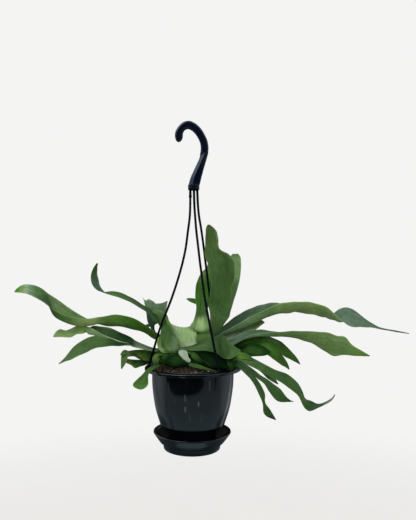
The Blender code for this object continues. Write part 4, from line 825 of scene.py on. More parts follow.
def linear(colour):
    """A swatch of 0-255 display values as linear light."""
    c = np.asarray(colour, float) / 255
    return np.where(c <= 0.04045, c / 12.92, ((c + 0.055) / 1.055) ** 2.4)


def mesh_from(name, points, faces, sharp=None, smooth=True):
    mesh = bpy.data.meshes.new(name)
    mesh.from_pydata((np.asarray(points, float) * MM + RIM).tolist(), [], [list(f) for f in faces])
    mesh.validate()
    if smooth:
        mesh.shade_smooth()
        if sharp is not None:
            mesh.set_sharp_from_angle(angle=math.radians(sharp))
    return mesh


def outward(mesh):
    bm = bmesh.new()
    bm.from_mesh(mesh)
    bmesh.ops.recalc_face_normals(bm, faces=bm.faces)
    bm.to_mesh(mesh)
    bm.free()


def piece(name, mesh, material, replaces=()):
    obj = bpy.data.objects.new(name, mesh)
    scene.collection.objects.link(obj)
    mesh.materials.append(material)
    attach(obj, "root")
    if replaces:
        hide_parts(*replaces)
    return obj


def point_colours(mesh, name, colours):
    layer = mesh.color_attributes.new(name, "FLOAT_COLOR", "POINT")
    rgba = np.ones((len(mesh.vertices), 4), np.float32)
    rgba[:, :3] = colours
    layer.data.foreach_set("color", rgba.ravel())


def smooth_noise(points, size, seed):
    """Three soft random fields over space, from a few fixed waves.  Points and size in millimetres."""
    rng = np.random.default_rng(seed)
    out = np.zeros((len(points), 3))
    for k in range(7):
        wave = rng.normal(size=(3, 3)) / size * (1.0 + 0.35 * k)
        phase = rng.uniform(0, 2 * math.pi, 3)
        out += np.sin(points @ wave.T + phase) / (1.0 + 0.45 * k)
    return out / 2.6


# ---------------------------------------------------------------------------------------------
# Finishes
# ---------------------------------------------------------------------------------------------


def leaf_material(name, rough, bloom, grain, sheen, gloss=0.14):
    """A thick leaf.  tint is the colour given at each point: the frond's own greens together with its painted shade and
    painted highlights; place is (millimetres from the base, -1..1 across, 1 on the upper face and 0 below)."""
    mat, n = new_material(name)
    tint = n.attr("tint").outputs["Color"]
    along, across, upper = n.split(n.attr("place").outputs["Vector"])
    at = n.coords("Object")
    # long soft streaks and fine veins that run with the blade
    lane = n.join(n.math("MULTIPLY", along, 0.035), n.math("MULTIPLY", across, 3.1), n.math("MULTIPLY", upper, 7.0))
    streak = n.noise(lane, 2.2, 4.0, 0.6)
    vein_lane = n.join(n.math("MULTIPLY", along, 0.02), n.math("MULTIPLY", across, 9.0), 0.0)
    wander = n.math("MULTIPLY", n.math("SUBTRACT", n.noise(vein_lane, 1.6, 2.0), 0.5), 2.6)
    veins = n.math("POWER", n.math("ABSOLUTE", n.math("SINE", n.math("ADD", n.math("MULTIPLY", across, 15.0), wander))), 5.0)
    veins = n.math("SUBTRACT", 1.0, n.math("MULTIPLY", n.math("SUBTRACT", 1.0, veins), 1.0), clamp=True)
    patches = n.noise(at, 55.0, 4.0, 0.55)
    fine = n.noise(at, 900.0, 3.0, 0.6)
    speck = n.noise(at, 420.0, 2.0, 0.5)
    shade = n.math("ADD", n.math("MULTIPLY", n.range(streak, 0.3, 0.72, -1.0, 1.0), 0.20), n.math("MULTIPLY", n.range(patches, 0.3, 0.7, -1.0, 1.0), 0.14))
    shade = n.math("ADD", shade, n.math("MULTIPLY", n.range(speck, 0.3, 0.7, -1.0, 1.0), grain))
    shade = n.math("ADD", shade, n.math("MULTIPLY", veins, 0.10))
    colour = n.mix(n.range(shade, -0.28, 0.30), n.mix(1.0, tint, (0.62, 0.70, 0.55), "MULTIPLY"), n.mix(1.0, tint, (1.38, 1.30, 1.42), "MULTIPLY"))
    # the grey bloom of fine felt on the upper face, worn off in patches
    felt = n.math("MULTIPLY", n.range(n.noise(at, 95.0, 5.0, 0.62), 0.36, 0.66), upper)
    felt = n.math("MULTIPLY", felt, n.math("MULTIPLY_ADD", n.range(fine, 0.35, 0.65), 0.5, 0.5))
    colour = n.mix(n.math("MULTIPLY", felt, bloom), colour, (0.165, 0.235, 0.205))
    # thin pale margin: a painted highlight along the blade's edge, where the thick edge catches the light
    margin = n.range(n.math("ABSOLUTE", across), 0.90, 0.99, 0.0, 0.50, smooth=True)
    colour = n.mix(margin, colour, n.mix(1.0, tint, (1.9, 1.75, 1.6), "MULTIPLY"))
    height = n.math("ADD", n.math("MULTIPLY", veins, 0.55), n.math("MULTIPLY", streak, 0.6))
    height = n.math("ADD", height, n.math("MULTIPLY", fine, 0.25))
    normal = n.bump(height, 0.55, 0.00035)
    roughness = n.range(n.math("ADD", n.math("MULTIPLY", felt, 0.6), n.math("MULTIPLY", patches, 0.5)), 0.1, 0.9, rough - 0.07, rough + 0.16)
    n.surface(Base_Color=colour, Roughness=roughness, Normal=normal, Sheen_Weight=sheen, Sheen_Roughness=0.45, Sheen_Tint=(0.86, 0.93, 0.86, 1.0), Specular_IOR_Level=gloss)
    return mat


LEAF = {
    "green_frond": leaf_material("leaf_green", 0.42, 0.08, 0.07, 0.01, 0.11),
    "grey_frond": leaf_material("leaf_grey", 0.50, 0.22, 0.08, 0.04),
    # a duller copy with almost no gloss, felt or sheen, so the crown leaves and the low fronds stay near-black: painted
    # shade
    "dark_frond": leaf_material("leaf_dark", 0.46, 0.01, 0.06, 0.0, 0.025),
    "young_frond": leaf_material("leaf_young", 0.42, 0.03, 0.06, 0.02),
    "pale_frond": leaf_material("leaf_pale", 0.58, 0.12, 0.09, 0.05),
    "shield_frond": leaf_material("leaf_shield", 0.48, 0.03, 0.05, 0.02),
}


def plastic_material(name, colour, rough, dust, scuff, waver=1.0, gloss=0.5, tint=(1.0, 1.0, 1.0, 1.0), streaks=()):
    """Black moulded plastic: slight mottling in the gloss, faint run marks, fine dust, and any pale
    streaks, real marks and painted highlights alike, given as (degrees round the pot from the front, top, foot, width
    in degrees, strength)."""
    mat, n = new_material(name)
    at = n.coords("Object")
    x, y, z = n.split(at)
    drawn = n.join(n.math("MULTIPLY", x, 1.0), n.math("MULTIPLY", y, 1.0), n.math("MULTIPLY", z, 0.09))
    runs = n.noise(drawn, 240.0, 3.0, 0.55)
    run_mask = n.range(n.noise(at, 22.0, 2.0), 0.5, 0.68)
    marks = n.math("MULTIPLY", n.range(runs, 0.60, 0.78), run_mask)
    film = n.range(n.noise(at, 34.0, 6.0, 0.66), 0.38, 0.80)
    specks = n.range(n.voronoi(at, 620.0), 0.16, 0.05)
    specks = n.math("MULTIPLY", specks, n.range(n.noise(at, 60.0, 3.0), 0.52, 0.70))
    pale = n.math("ADD", n.math("MULTIPLY", film, dust), n.math("MULTIPLY", marks, scuff))
    pale = n.math("ADD", pale, n.math("MULTIPLY", specks, dust * 2.5), clamp=True)
    if streaks:
        wander = n.math("MULTIPLY", n.math("SUBTRACT", n.noise(at, 90.0, 2.0), 0.5), 1.6)
        about = n.math("DEGREES", n.math("ARCTAN2", n.math("SUBTRACT", x, float(RIM[0])), n.math("SUBTRACT", float(RIM[1]), y)))
        about = n.math("ADD", about, wander)
        broken = n.range(n.noise(drawn, 520.0, 3.0, 0.6), 0.30, 0.62, 0.35, 1.0)
        for turn_at, top, foot, wide, strength in streaks:
            side = n.range(n.math("ABSOLUTE", n.math("SUBTRACT", about, turn_at)), wide, wide * 0.2, 0.0, 1.0, smooth=True)
            mid, half = (top + foot) / 2, (top - foot) / 2
            off = n.math("ABSOLUTE", n.math("SUBTRACT", z, float(RIM[2]) + mid * MM))
            end = n.range(off, half * MM, half * 0.4 * MM, 0.0, strength, smooth=True)
            pale = n.math("ADD", pale, n.math("MULTIPLY", n.math("MULTIPLY", side, end), broken), clamp=True)
    base = n.mix(pale, colour, (0.30, 0.33, 0.335))
    roughness = n.math("ADD", n.math("MULTIPLY_ADD", film, 0.10, rough), n.math("MULTIPLY", marks, 0.22), clamp=True)
    height = n.math("ADD", n.math("MULTIPLY", n.noise(at, 75.0, 2.0), waver), n.math("MULTIPLY", n.noise(at, 1500.0, 2.0), 0.02))
    n.surface(Base_Color=base, Roughness=roughness, Normal=n.bump(height, 0.12, 0.0009), Specular_IOR_Level=gloss, Specular_Tint=tint)
    return mat


# pale marks on the pot: water marks and scuffs down the wall, and at -9.5 degrees, 2.6 to 5.2 mm under the rim, a
# painted highlight glinting on the lip
POT_MARKS_AND_LIP_GLINT = (
    (-9.0, -29.0, -43.0, 1.5, 0.17), (-9.2, -47.0, -58.0, 1.9, 0.20), (9.2, -39.0, -50.0, 1.6, 0.20), (24.0, -8.0, -28.0, 1.4, 0.17), (-32.3, -12.0, -32.0, 1.2, 0.07),
    (-3.0, -54.0, -74.0, 2.6, 0.04), (14.0, -56.0, -78.0, 3.0, 0.03), (-9.5, -2.6, -5.2, 5.0, 0.16), (-37.0, -50.0, -82.0, 1.4, 0.05),
)
POT_FINISH = plastic_material("gloss_black", (0.0012, 0.0032, 0.0042), 0.075, 0.006, 0.06, streaks=POT_MARKS_AND_LIP_GLINT)
SAUCER_FINISH = plastic_material("gloss_black_saucer", (0.0008, 0.0026, 0.0048), 0.13, 0.004, 0.03)
# the lower outer band and foot of the dish: a darker, duller copy of the gloss black, painted shade on the band that
# faces down
SAUCER_FOOT_SHADED = plastic_material("gloss_black_saucer_foot", (0.0008, 0.0026, 0.0060), 0.20, 0.003, 0.02, gloss=0.22)
SAUCER_INSIDE = plastic_material("shaded_black_saucer", (0.0006, 0.0018, 0.0040), 0.30, 0.002, 0.01, gloss=0.05)
HOOK_FINISH = plastic_material("blue_black", (0.0008, 0.0030, 0.0120), 0.19, 0.003, 0.02, 0.5, 0.45, (0.80, 0.93, 1.0, 1.0))
COLLAR_FINISH = plastic_material("blue_black_collar", (0.0010, 0.0034, 0.0120), 0.34, 0.002, 0.01, 0.5, 0.16)
STRAND_FINISH = plastic_material("blue_black_strand", (0.0012, 0.0030, 0.0060), 0.36, 0.002, 0.01, 0.5, 0.06)


def bark_material(name, dark, mid, light, scale):
    """Composted bark: each chip its own brown, with layered grain across it."""
    mat, n = new_material(name)
    at = n.coords("Object")
    own = n.attr("tint").outputs["Color"]
    shift = n.split(n.attr("place").outputs["Vector"])
    grain_at = n.join(n.math("ADD", n.split(at)[0], n.math("MULTIPLY", shift[0], 0.31)), n.math("ADD", n.split(at)[1], shift[1]), n.math("MULTIPLY", n.split(at)[2], 2.6))
    grain = n.noise(grain_at, scale, 6.0, 0.65)
    crumbs = n.noise(at, scale * 4.0, 4.0, 0.6)
    colour = n.ramp(n.math("ADD", n.math("MULTIPLY", grain, 0.7), n.math("MULTIPLY", crumbs, 0.3)), [(0.30, dark), (0.52, mid), (0.72, light)])
    colour = n.mix(1.0, colour, own, "MULTIPLY")
    height = n.math("ADD", n.math("MULTIPLY", grain, 0.7), n.math("MULTIPLY", crumbs, 0.45))
    n.surface(Base_Color=colour, Roughness=n.range(crumbs, 0.3, 0.7, 0.78, 0.98), Normal=n.bump(height, 0.9, 0.0012), Specular_IOR_Level=0.12)
    return mat


BARK = bark_material("bark_chip", (0.010, 0.0085, 0.0065), (0.052, 0.041, 0.028), (0.18, 0.15, 0.105), 240.0)
# near-black greens for the rhizome, its scales and roots: partly their own dark colour, partly painted shade deep in
# the crown
CROWN_BARK = bark_material("crown_bark", (0.004, 0.009, 0.003), (0.018, 0.030, 0.012), (0.060, 0.072, 0.036), 330.0)
PERLITE, n = new_material("perlite")
n.surface(
    Base_Color=n.ramp(n.noise(n.coords("Object"), 700.0, 4.0), [(0.35, (0.16, 0.15, 0.13)), (0.6, (0.42, 0.40, 0.37))]),
    Roughness=n.range(n.noise(n.coords("Object"), 400.0), 0.3, 0.7, 0.8, 1.0),
    Normal=n.bump(n.voronoi(n.coords("Object"), 1500.0), 0.7, 0.0006),
)

# ---------------------------------------------------------------------------------------------
# Fronds
# ---------------------------------------------------------------------------------------------
COLUMNS, STEP = ((20, 3.0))
# The plant's greens, as display values.
GREENS = {
    "black": (4, 26, 5), "deep": (19, 50, 12), "dark": (36, 64, 20), "shade": (34, 60, 36), "leaf": (48, 78, 30), "fresh": (50, 86, 20),
    "vivid": (66, 118, 20), "mid": (61, 92, 42), "dusk": (66, 92, 66), "olive": (72, 98, 46), "soft": (78, 108, 62), "grey": (82, 108, 86), "light": (97, 124, 73),
    "silver": (102, 130, 98), "bright": (64, 110, 32), "lime": (92, 128, 52), "straw": (114, 142, 84), "pale": (134, 152, 126), "shield": (126, 156, 104),
    "glow": (140, 170, 112), "white": (148, 162, 142),
}
# Each frond's greens from its base (0) to its tip (1): upper face, under face.  The dark and black stops at the bases,
# and the near-black greens of the low fronds under the shields, are painted shade where the crown and the fronds above
# shade them; the silver and pale stops are partly the grey felt and partly painted highlights where a face catches the
# light.
PAINT = {
    "frond_left_long": ("deep 0, dark .5, soft .65, light .75, mid .85, soft .89, silver .92, pale .94, straw .955, vivid .985", "soft .1, fresh .25, bright .35, straw .55, mid .7, dark .78"),
    "frond_left_upper": ("fresh .3, dark .45, fresh .65", "grey .85, leaf .95"),
    "frond_left_forked": ("silver .12, silver .24, grey .33, shade .36, deep .40, deep .50, mid .60, mid .85", "white .45, silver .65, straw .75, straw .95"),
    "frond_left_upright": ("deep .6, dark .68, silver .85, silver 1", "deep 0, dark .6, grey .8, silver 1"),
    "frond_rim_forked": ("leaf .2, lime .45, fresh .65, olive .75, mid .95", "dark 0, leaf .5, mid 1"),
    "frond_rim_lower": ("deep .45, fresh .55, bright .65, lime .8, fresh .95", "black 0, deep .5, mid .8, leaf 1"),
    "frond_rim_droop": ("leaf .45, fresh .55, fresh .75, bright .9", "dark 0, olive .4, fresh .7, bright 1"),
    "shield_left": ("shield 0, glow 1", "white .35, shield .45, glow .95"),
    "frond_mid": ("light .35, mid .45, bright .65, bright .8, straw .95", "leaf 0, light .3, light .45, mid .56, fresh .7, olive 1"),
    "frond_tall": ("leaf .15, mid .25, mid .65, olive .85, olive 1", "leaf 0, mid .4, mid .7, soft .82, mid 1"),
    "frond_rear_tip": ("leaf .5, vivid .95", "leaf 0, bright 1"),
    "frond_front_left": ("soft 0, mid .5, leaf 1", "glow .12, soft .25, mid .35, leaf .45, leaf .75, soft .9"),
    "frond_front_yellow": ("fresh .55, shield .65, lime .85", "olive 0, straw 1"),
    "frond_front_round": ("olive 0, light 1", "olive .6, olive .8, dark .95"),
    "shield_front": ("dark .42, leaf .55, dark .75, mid .88", "leaf 0, leaf .5, mid .8, olive 1"),
    "frond_pale": ("white 0, white 1", "white .6, pale .9"),
    "frond_front_dark": ("dark 0, deep .5, black 1", "dark .45, black .55, deep .75, black .95"),
    "frond_front_low": ("leaf .45, fresh .55, dark .9", "leaf 0, dark 1"),
    "frond_front_deep": ("black 0, deep 1", "deep .85, black .95"),
    "frond_right_long": ("black 0, deep .19, shade .27, dusk .38, dusk .45, grey .75, dusk .87", "silver .15, light .45, straw .55, straw .65, silver .75"),
    "frond_right_short": ("pale .45, pale .6, shield .75, light .85, straw .95", "leaf 0, mid 1"),
    "frond_right_middle": ("grey .15, dusk .25", "silver .35, soft .45, light .65, light .85, lime .95"),
    "frond_right_dark": ("deep .25, leaf .35, bright .55, leaf .75, leaf .95", "deep 0, mid .6, leaf 1"),
    "frond_right_rounded": ("black .5, deep .65, deep .85", "black 0, deep .55, dark 1"),
    "frond_right_lower": ("leaf .15, mid .25, leaf .45, leaf .85, silver .97", "mid 0, soft .5, light 1"),
    "frond_right_forked": ("deep .25, dark .35, leaf .8, deep .97", "deep 0, mid .3, mid 1"),
    "frond_right_under": ("leaf .8, light .95", "dark 0, leaf 1"),
    "frond_right_rim": ("dark 0, deep 1", "shade .7, deep .9"),
    "crown_leaf_right": ("black 0, black .6, deep 1", "deep .45, black .55, black .85"),
    "crown_leaf_middle": ("black 0, deep .5, black 1", "black 0, black .75, deep .85, black .95"),
    "crown_leaf_fore": ("dark 0, mid .5, dark .7, black .85", "dark 0, mid .5, dark .7, black .85"),
    "crown_leaf_bright": ("leaf 0, fresh .5, bright .8, deep 1", "leaf 0, fresh .5, bright .8, deep 1"),
    "crown_leaf_left": ("deep 0, shade .6, deep 1", "deep 0, shade .6, deep 1"),
    "crown_leaf_edge": ("black 0, black .4, shade 1", "black 0, black .4, shade 1"),
    "crown_leaf_rear": ("black 0, deep .5, black 1", "black 0, dark .35, deep .6, black .75, deep .95"),
    "crown_leaf_lime": ("bright 0, lime .5, leaf 1", "bright 0, lime .5, leaf 1"),
    "crown_tip_left": ("leaf 0, lime 1", "leaf 0, lime 1"),
    "crown_leaf_socket": ("vivid .2, fresh .5, deep 1", "vivid .2, fresh .5, deep 1"),
}
# Patches of another green: (from, to along the blade, from, to across it, green, strength).  The glow patch on
# frond_mid, the pale patches along frond_tall's right side, and the silver edges of frond_front_left and
# frond_left_forked are painted highlights where a face catches the light; the deep patch near frond_right_long's base
# is painted shade at the crown.
SPOTS = {
    "frond_left_forked": [(0.13, 0.32, -0.5, 0.45, "pale", 0.6), (0.50, 0.62, 0.88, 1.5, "silver", 0.4)],
    "frond_right_long": [(0.11, 0.22, -0.5, 0.3, "deep", 0.6)],
    "frond_front_yellow": [(0.35, 0.75, 0.75, 1.5, "leaf", 0.6), (0.55, 1.0, -0.5, 0.2, "shield", 0.6)],
    "frond_rim_lower": [(0.62, 0.78, -0.5, 0.3, "light", 0.5)],
    "crown_leaf_socket": [(0.68, 0.90, -0.5, 1.5, "soft", 0.6)],
    "frond_tall": [(0.36, 1.3, 0.5, 1.5, "soft", 0.85), (0.62, 1.3, 0.5, 1.5, "shield", 0.6), (0.86, 1.3, 0.5, 1.5, "white", 0.6)],
    "frond_front_left": [(0.44, 0.75, 0.84, 1.5, "silver", 0.45), (-0.5, 0.42, 0.70, 1.5, "silver", 0.55), (-0.5, 0.30, -0.5, 0.30, "shade", 0.35)],
    "shield_front": [(0.30, 0.55, 0.2, 1.2, "soft", 0.55), (0.335, 0.365, 0.28, 0.95, "leaf", 0.45), (0.0, 0.3, 0.6, 1.5, "soft", 0.4)],
    "frond_mid": [(0.28, 0.40, 0.25, 0.75, "glow", 0.75), (0.0, 0.24, -0.5, 1.5, "fresh", 0.8)],
    "shield_left": [(0.76, 1.3, 0.80, 1.5, "mid", 0.55), (0.62, 1.3, -0.5, 0.28, "white", 0.55), (0.0, 0.30, 0.45, 1.5, "glow", 0.6), (0.25, 0.45, -0.5, 0.45, "straw", 0.6)],
    "frond_right_lower": [(0.80, 0.92, -0.5, 1.5, "shade", 0.8), (0.10, 0.30, 0.35, 0.55, "silver", 0.6)],
    "frond_right_rounded": [(0.45, 0.85, 0.3, 0.8, "leaf", 0.6)],
    "frond_right_dark": [(0.35, 0.62, 0.45, 0.7, "soft", 0.7), (0.58, 0.72, -0.5, 0.25, "silver", 0.6), (0.30, 0.60, 0.75, 1.5, "black", 0.6)],
    "frond_left_long": [(0.79, 0.87, -0.5, 0.5, "leaf", 0.7), (0.70, 0.77, 0.3, 0.7, "deep", 0.4), (0.77, 0.84, 0.1, 0.85, "deep", 0.8), (0.70, 0.77, 0.76, 1.5, "silver", 0.25), (0.69, 0.78, 0.9, 1.5, "deep", 0.35)],
    "frond_left_upright": [(0.50, 0.75, -0.5, 0.35, "deep", 0.6)],
    "frond_rim_droop": [(0.70, 0.95, 0.35, 0.75, "silver", 0.15)],
    "frond_rim_forked": [(0.44, 0.60, -0.5, 0.25, "black", 0.7), (0.40, 0.60, 0.6, 1.5, "fresh", 0.6), (0.55, 0.72, -0.5, 0.6, "deep", 0.7)],
}
# the rear fronds start dark at their bases: painted shade where they leave the crown
REAR_PAINT = ("dark 0, mid .3, grey .6, soft .85, leaf 1", "dark 0, leaf .3, soft .6, soft .85, mid 1")
SHIELD_PAINT = ("soft 0, shield 1", "soft 0, shield 1")
SLOTS = {
    "shield_left": "shield_frond", "shield_back_left": "shield_frond", "shield_back_right": "shield_frond", "frond_pale": "pale_frond",
    "frond_front_yellow": "young_frond", "frond_front_round": "young_frond", "frond_front_low": "young_frond",
    "frond_front_dark": "dark_frond", "frond_front_deep": "dark_frond", "frond_right_rim": "dark_frond", "frond_right_under": "dark_frond",
    "frond_right_dark": "dark_frond", "frond_right_rounded": "dark_frond", "frond_left_upright": "grey_frond", "frond_right_short": "grey_frond",
}
PAINT_LEVEL = 1.0


def gradient(words, t):
    """Colours along a blade from its list of greens, such as "deep 0, leaf .4, fresh 1"."""
    stops = [entry.split() for entry in words.split(",")]
    at = [float(s) for _, s in stops]
    colours = np.array([linear(GREENS[name]) for name, _ in stops])
    return np.stack([np.interp(t, at, colours[:, k]) for k in range(3)], axis=1)


def edge_fade(x, lo, hi, soft):
    """1 between lo and hi, fading to 0 over soft on both sides."""
    return np.clip((x - lo) / soft + 0.5, 0, 1) * np.clip((hi - x) / soft + 0.5, 0, 1)


MIX_TOP = [(0.0, 8.0), (16.0, 7.4), (32.0, 5.0), (46.0, 1.6), (57.0, -2.6), (60.6, -4.6)]
CROWNS = ((-33.0, 13.0, 15.0, 15.0), (-3.0, 14.0, 18.0, 13.0), (27.0, 14.0, 19.0, 20.0))  # x, y, spread, height


def mix_top(radius):
    return np.interp(radius, [r for r, _ in MIX_TOP], [z for _, z in MIX_TOP])


def crown_rise(x, y):
    rise = sum(h * np.exp(-((x - cx) ** 2 + (y - cy) ** 2) / (2 * (0.62 * w) ** 2)) for cx, cy, w, h in CROWNS)
    reach = np.sqrt(((x + 3) / 47) ** 2 + ((y - 13) / 24) ** 2)
    return rise * np.clip(1 - reach**4, 0, 1) + 1.6


def root_of(base):
    """Where a frond's stalk starts, inside the crown."""
    cx, cy, _, _ = min(CROWNS, key=lambda c: (c[0] - base[0]) ** 2 + (c[1] - base[1]) ** 2)
    target = np.array((cx + 0.35 * np.clip(base[0] - cx, -20, 20), cy + 0.3 * np.clip(base[1] - cy, -20, 20), 13.0))
    way = target - base
    far = np.linalg.norm(way)
    root = base + way * min(1.0, 16.0 / far)
    if far > 26:
        root[2] = min(root[2], mix_top(math.hypot(root[0], root[1])) + 0.5)
    return root


def make_frond(name, frond, seed, stands_for=None):
    points, quads, place = blade(frond, COLUMNS, STEP, root_of)
    reach = place[:, 0].max()
    along = place[:, 0]
    u = 2 * place[:, 2] - 1  # -1..1 across its own lobe
    normals = normals_of(points, quads)
    rng = np.random.default_rng(seed)
    # margins ripple a little, and the blade has a few slow dents
    phase = rng.uniform(0, 2 * math.pi, 4)
    long = rng.uniform(20, 30)
    grow = np.clip(along / 25, 0, 1) * np.clip((reach - along) / 18 + 0.3, 0, 1)
    ripple = np.where(u < 0, np.sin(2 * math.pi * along / long + phase[0]), np.sin(2 * math.pi * along / (long * 1.13) + phase[1]))
    ripple = ripple * np.abs(u) ** 3 * grow * frond.get("wave", 0.45)
    dents = smooth_noise(points, 14.0, seed + 5)[:, 0] * 0.30 * grow
    dents += 0.26 * grow * (1 - np.abs(u) ** 3) * np.sin(6.4 * u + phase[3] + 0.8 * np.sin(along / 31 + phase[1]))  # long soft pleats
    points = points + normals * (ripple + dents)[:, None]
    # thick in the middle, thin and rounded at the margin, with raised veins below
    body = 1 - u**4
    tip = np.clip((reach - along) / 14, 0.25, 1)
    thickness = (0.60 + 0.95 * body) * (0.55 + 0.45 * tip)
    veins = np.clip(np.cos(u * 11.0 + 0.6 * np.sin(along / 23 + phase[2])), 0, 1) ** 4 * body * 0.16
    normals = normals_of(points, quads)
    bowed = frond["bow"] >= 0
    under, upper = (normals, -normals) if bowed else (-normals, normals)
    lower = points + under * (thickness / 2 + veins)[:, None]
    top = points + upper * (thickness / 2)[:, None]
    first, second = (lower, top) if bowed else (top, lower)
    count = len(points)
    both = np.concatenate([first, second])
    faces = [tuple(q) for q in quads] + [tuple(count + i for i in reversed(q)) for q in quads]
    rim = {}
    for q in quads:
        for a, b in zip(q, q[1:] + q[:1]):
            if (b, a) in rim:
                del rim[(b, a)]
            else:
                rim[(a, b)] = True
    faces += [(b, a, count + a, count + b) for a, b in rim]
    mesh = mesh_from(name, both, faces, sharp=48)
    stops = PAINT.get(name, SHIELD_PAINT if name.startswith("shield") else REAR_PAINT)
    t = along / reach
    upper_colour, under_colour = gradient(stops[0], t), gradient(stops[1], t)
    soft = smooth_noise(points, 16.0, seed + 9)
    for t0, t1, c0, c1, green, strength in SPOTS.get(name, ()):
        inside = edge_fade(t + 0.02 * soft[:, 1], t0, t1, 0.06) * edge_fade(place[:, 1] + 0.05 * soft[:, 2], c0, c1, 0.14)
        for layer in (upper_colour, under_colour):
            layer += (linear(GREENS[green]) - layer) * (inside * strength)[:, None]
    vary = 1 + 0.10 * soft[:, :1] + 0.05 * soft
    upper_colour, under_colour = upper_colour * vary, under_colour * vary
    colours = np.concatenate([under_colour, upper_colour] if bowed else [upper_colour, under_colour])
    side = np.concatenate([np.zeros(count), np.ones(count)] if bowed else [np.ones(count), np.zeros(count)])
    point_colours(mesh, "tint", np.clip(colours * PAINT_LEVEL, 0, 1))
    data = mesh.attributes.new("place", "FLOAT_VECTOR", "POINT")
    rows = np.stack([np.tile(along, 2), np.tile(u, 2), side], axis=1)
    data.data.foreach_set("vector", rows.astype(np.float32).ravel())
    slot = SLOTS.get(name, "dark_frond" if name.startswith("crown") else "green_frond")
    return piece(name + "_blade", mesh, LEAF[slot], [name] if stands_for is None else stands_for)


for count, (name, frond) in enumerate({**FRONDS, **REAR_FRONDS}.items()):
    make_frond(name, frond, 100 + 7 * count)
for count, (name, frond) in enumerate(CROWN_FRONDS.items()):
    make_frond(name, frond, 900 + 7 * count, [])


# ---------------------------------------------------------------------------------------------
# Pot, saucer, hook and hanger strands
# ---------------------------------------------------------------------------------------------
POT_DEPTH, WALL, NECK_RADIUS, NECK_FOOT = 87.2, 1.6, 36.6, 121.9
SAUCER_BASE = 126.4
ANCHOR_RADIUS = 69.0
ANCHOR_ANGLES = {"left": 180.0, "front_right": -55.0, "back_right": 55.0}
COLLAR_BASE, COLLAR_TOP = 275.2, 283.6
SOCKETS = {"left": (-4.2, 0.0), "front_right": (1.6, -4.2), "back_right": (6.6, 2.6)}


def smooth_profile(points, count):
    p = np.array(points, float)
    s = np.concatenate([[0], np.cumsum(np.linalg.norm(np.diff(p, axis=0), axis=1))])
    return curve_at(s, p, slopes(s, p), np.linspace(0, s[-1], count))


def rounded(points, steps=4):
    """An outline whose corners are eased.  Points are (radius, height, how far back the corner is cut)."""
    out = []
    for i, (r, z, cut) in enumerate(points):
        p = np.array((r, z), float)
        if cut <= 0 or i in (0, len(points) - 1):
            out.append(p)
            continue
        a, b = np.array(points[i - 1][:2]) - p, np.array(points[i + 1][:2]) - p
        la, lb = np.linalg.norm(a), np.linalg.norm(b)
        back = min(cut, 0.48 * la, 0.48 * lb)
        p0, p1 = p + a / la * back, p + b / lb * back
        for t in np.linspace(0, 1, steps + 1):
            out.append((1 - t) ** 2 * p0 + 2 * t * (1 - t) * p + t * t * p1)
    return out


def turned_shape(profile, sides, centre=(0.0, 0.0)):
    """Points and faces of an outline of (radius, height) turned about a vertical axis."""
    points, rings, faces = [], [], []
    turn = 2 * math.pi * np.arange(sides) / sides
    for r, z in profile:
        if r < 1e-6:
            rings.append([len(points)])
            points.append((centre[0], centre[1], z))
        else:
            rings.append(list(range(len(points), len(points) + sides)))
            points += [(centre[0] + r * math.cos(a), centre[1] + r * math.sin(a), z) for a in turn]
    for p, q in zip(rings, rings[1:]):
        for i in range(sides):
            j = (i + 1) % sides
            if len(p) == 1 and len(q) > 1:
                faces.append((p[0], q[i], q[j]))
            elif len(q) == 1 and len(p) > 1:
                faces.append((p[i], q[0], p[j]))
            elif len(p) > 1:
                faces.append((p[i], q[i], q[j], p[j]))
    return points, faces


def join_shapes(shapes):
    points, faces = [], []
    for more, quads in shapes:
        base = len(points)
        points += [tuple(p) for p in more]
        faces += [tuple(base + i for i in f) for f in quads]
    return points, faces


def upright_rod(centre, radius, low, high, sides=24):
    return turned_shape([(0.0, low), (radius, low), (radius, high), (0.0, high)], sides, centre)


def block(outline, width, angle):
    """An outline of (radius, height) given a width and set at an angle round the pot's axis."""
    c, s = math.cos(math.radians(angle)), math.sin(math.radians(angle))
    points = [(r * c - side * s, r * s + side * c, z) for side in (-width / 2, width / 2) for r, z in outline]
    k = len(outline)
    faces = [tuple(range(k)), tuple(reversed(range(k, 2 * k)))] + [(i, k + i, k + (i + 1) % k, (i + 1) % k) for i in range(k)]
    return points, faces


def carve(mesh, shapes, operation="DIFFERENCE"):
    """The mesh with every shape cut out of it, or joined to it."""
    outward(mesh)
    work = bpy.data.objects.new("work", mesh)
    tool_mesh = mesh_from("tool", *join_shapes(shapes), smooth=False)
    outward(tool_mesh)
    tool = bpy.data.objects.new("tool", tool_mesh)
    for obj in (work, tool):
        scene.collection.objects.link(obj)
    modifier = work.modifiers.new("carve", "BOOLEAN")
    modifier.operation, modifier.object = operation, tool
    bpy.context.view_layer.update()
    graph = bpy.context.evaluated_depsgraph_get()
    made = bpy.data.meshes.new_from_object(work.evaluated_get(graph), depsgraph=graph)
    for obj in (work, tool):
        bpy.data.objects.remove(obj, do_unlink=True)
    bpy.data.meshes.remove(tool_mesh)
    return made


def shade(mesh, sharp):
    mesh.shade_smooth()
    mesh.set_sharp_from_angle(angle=math.radians(sharp))


SIDES = 160

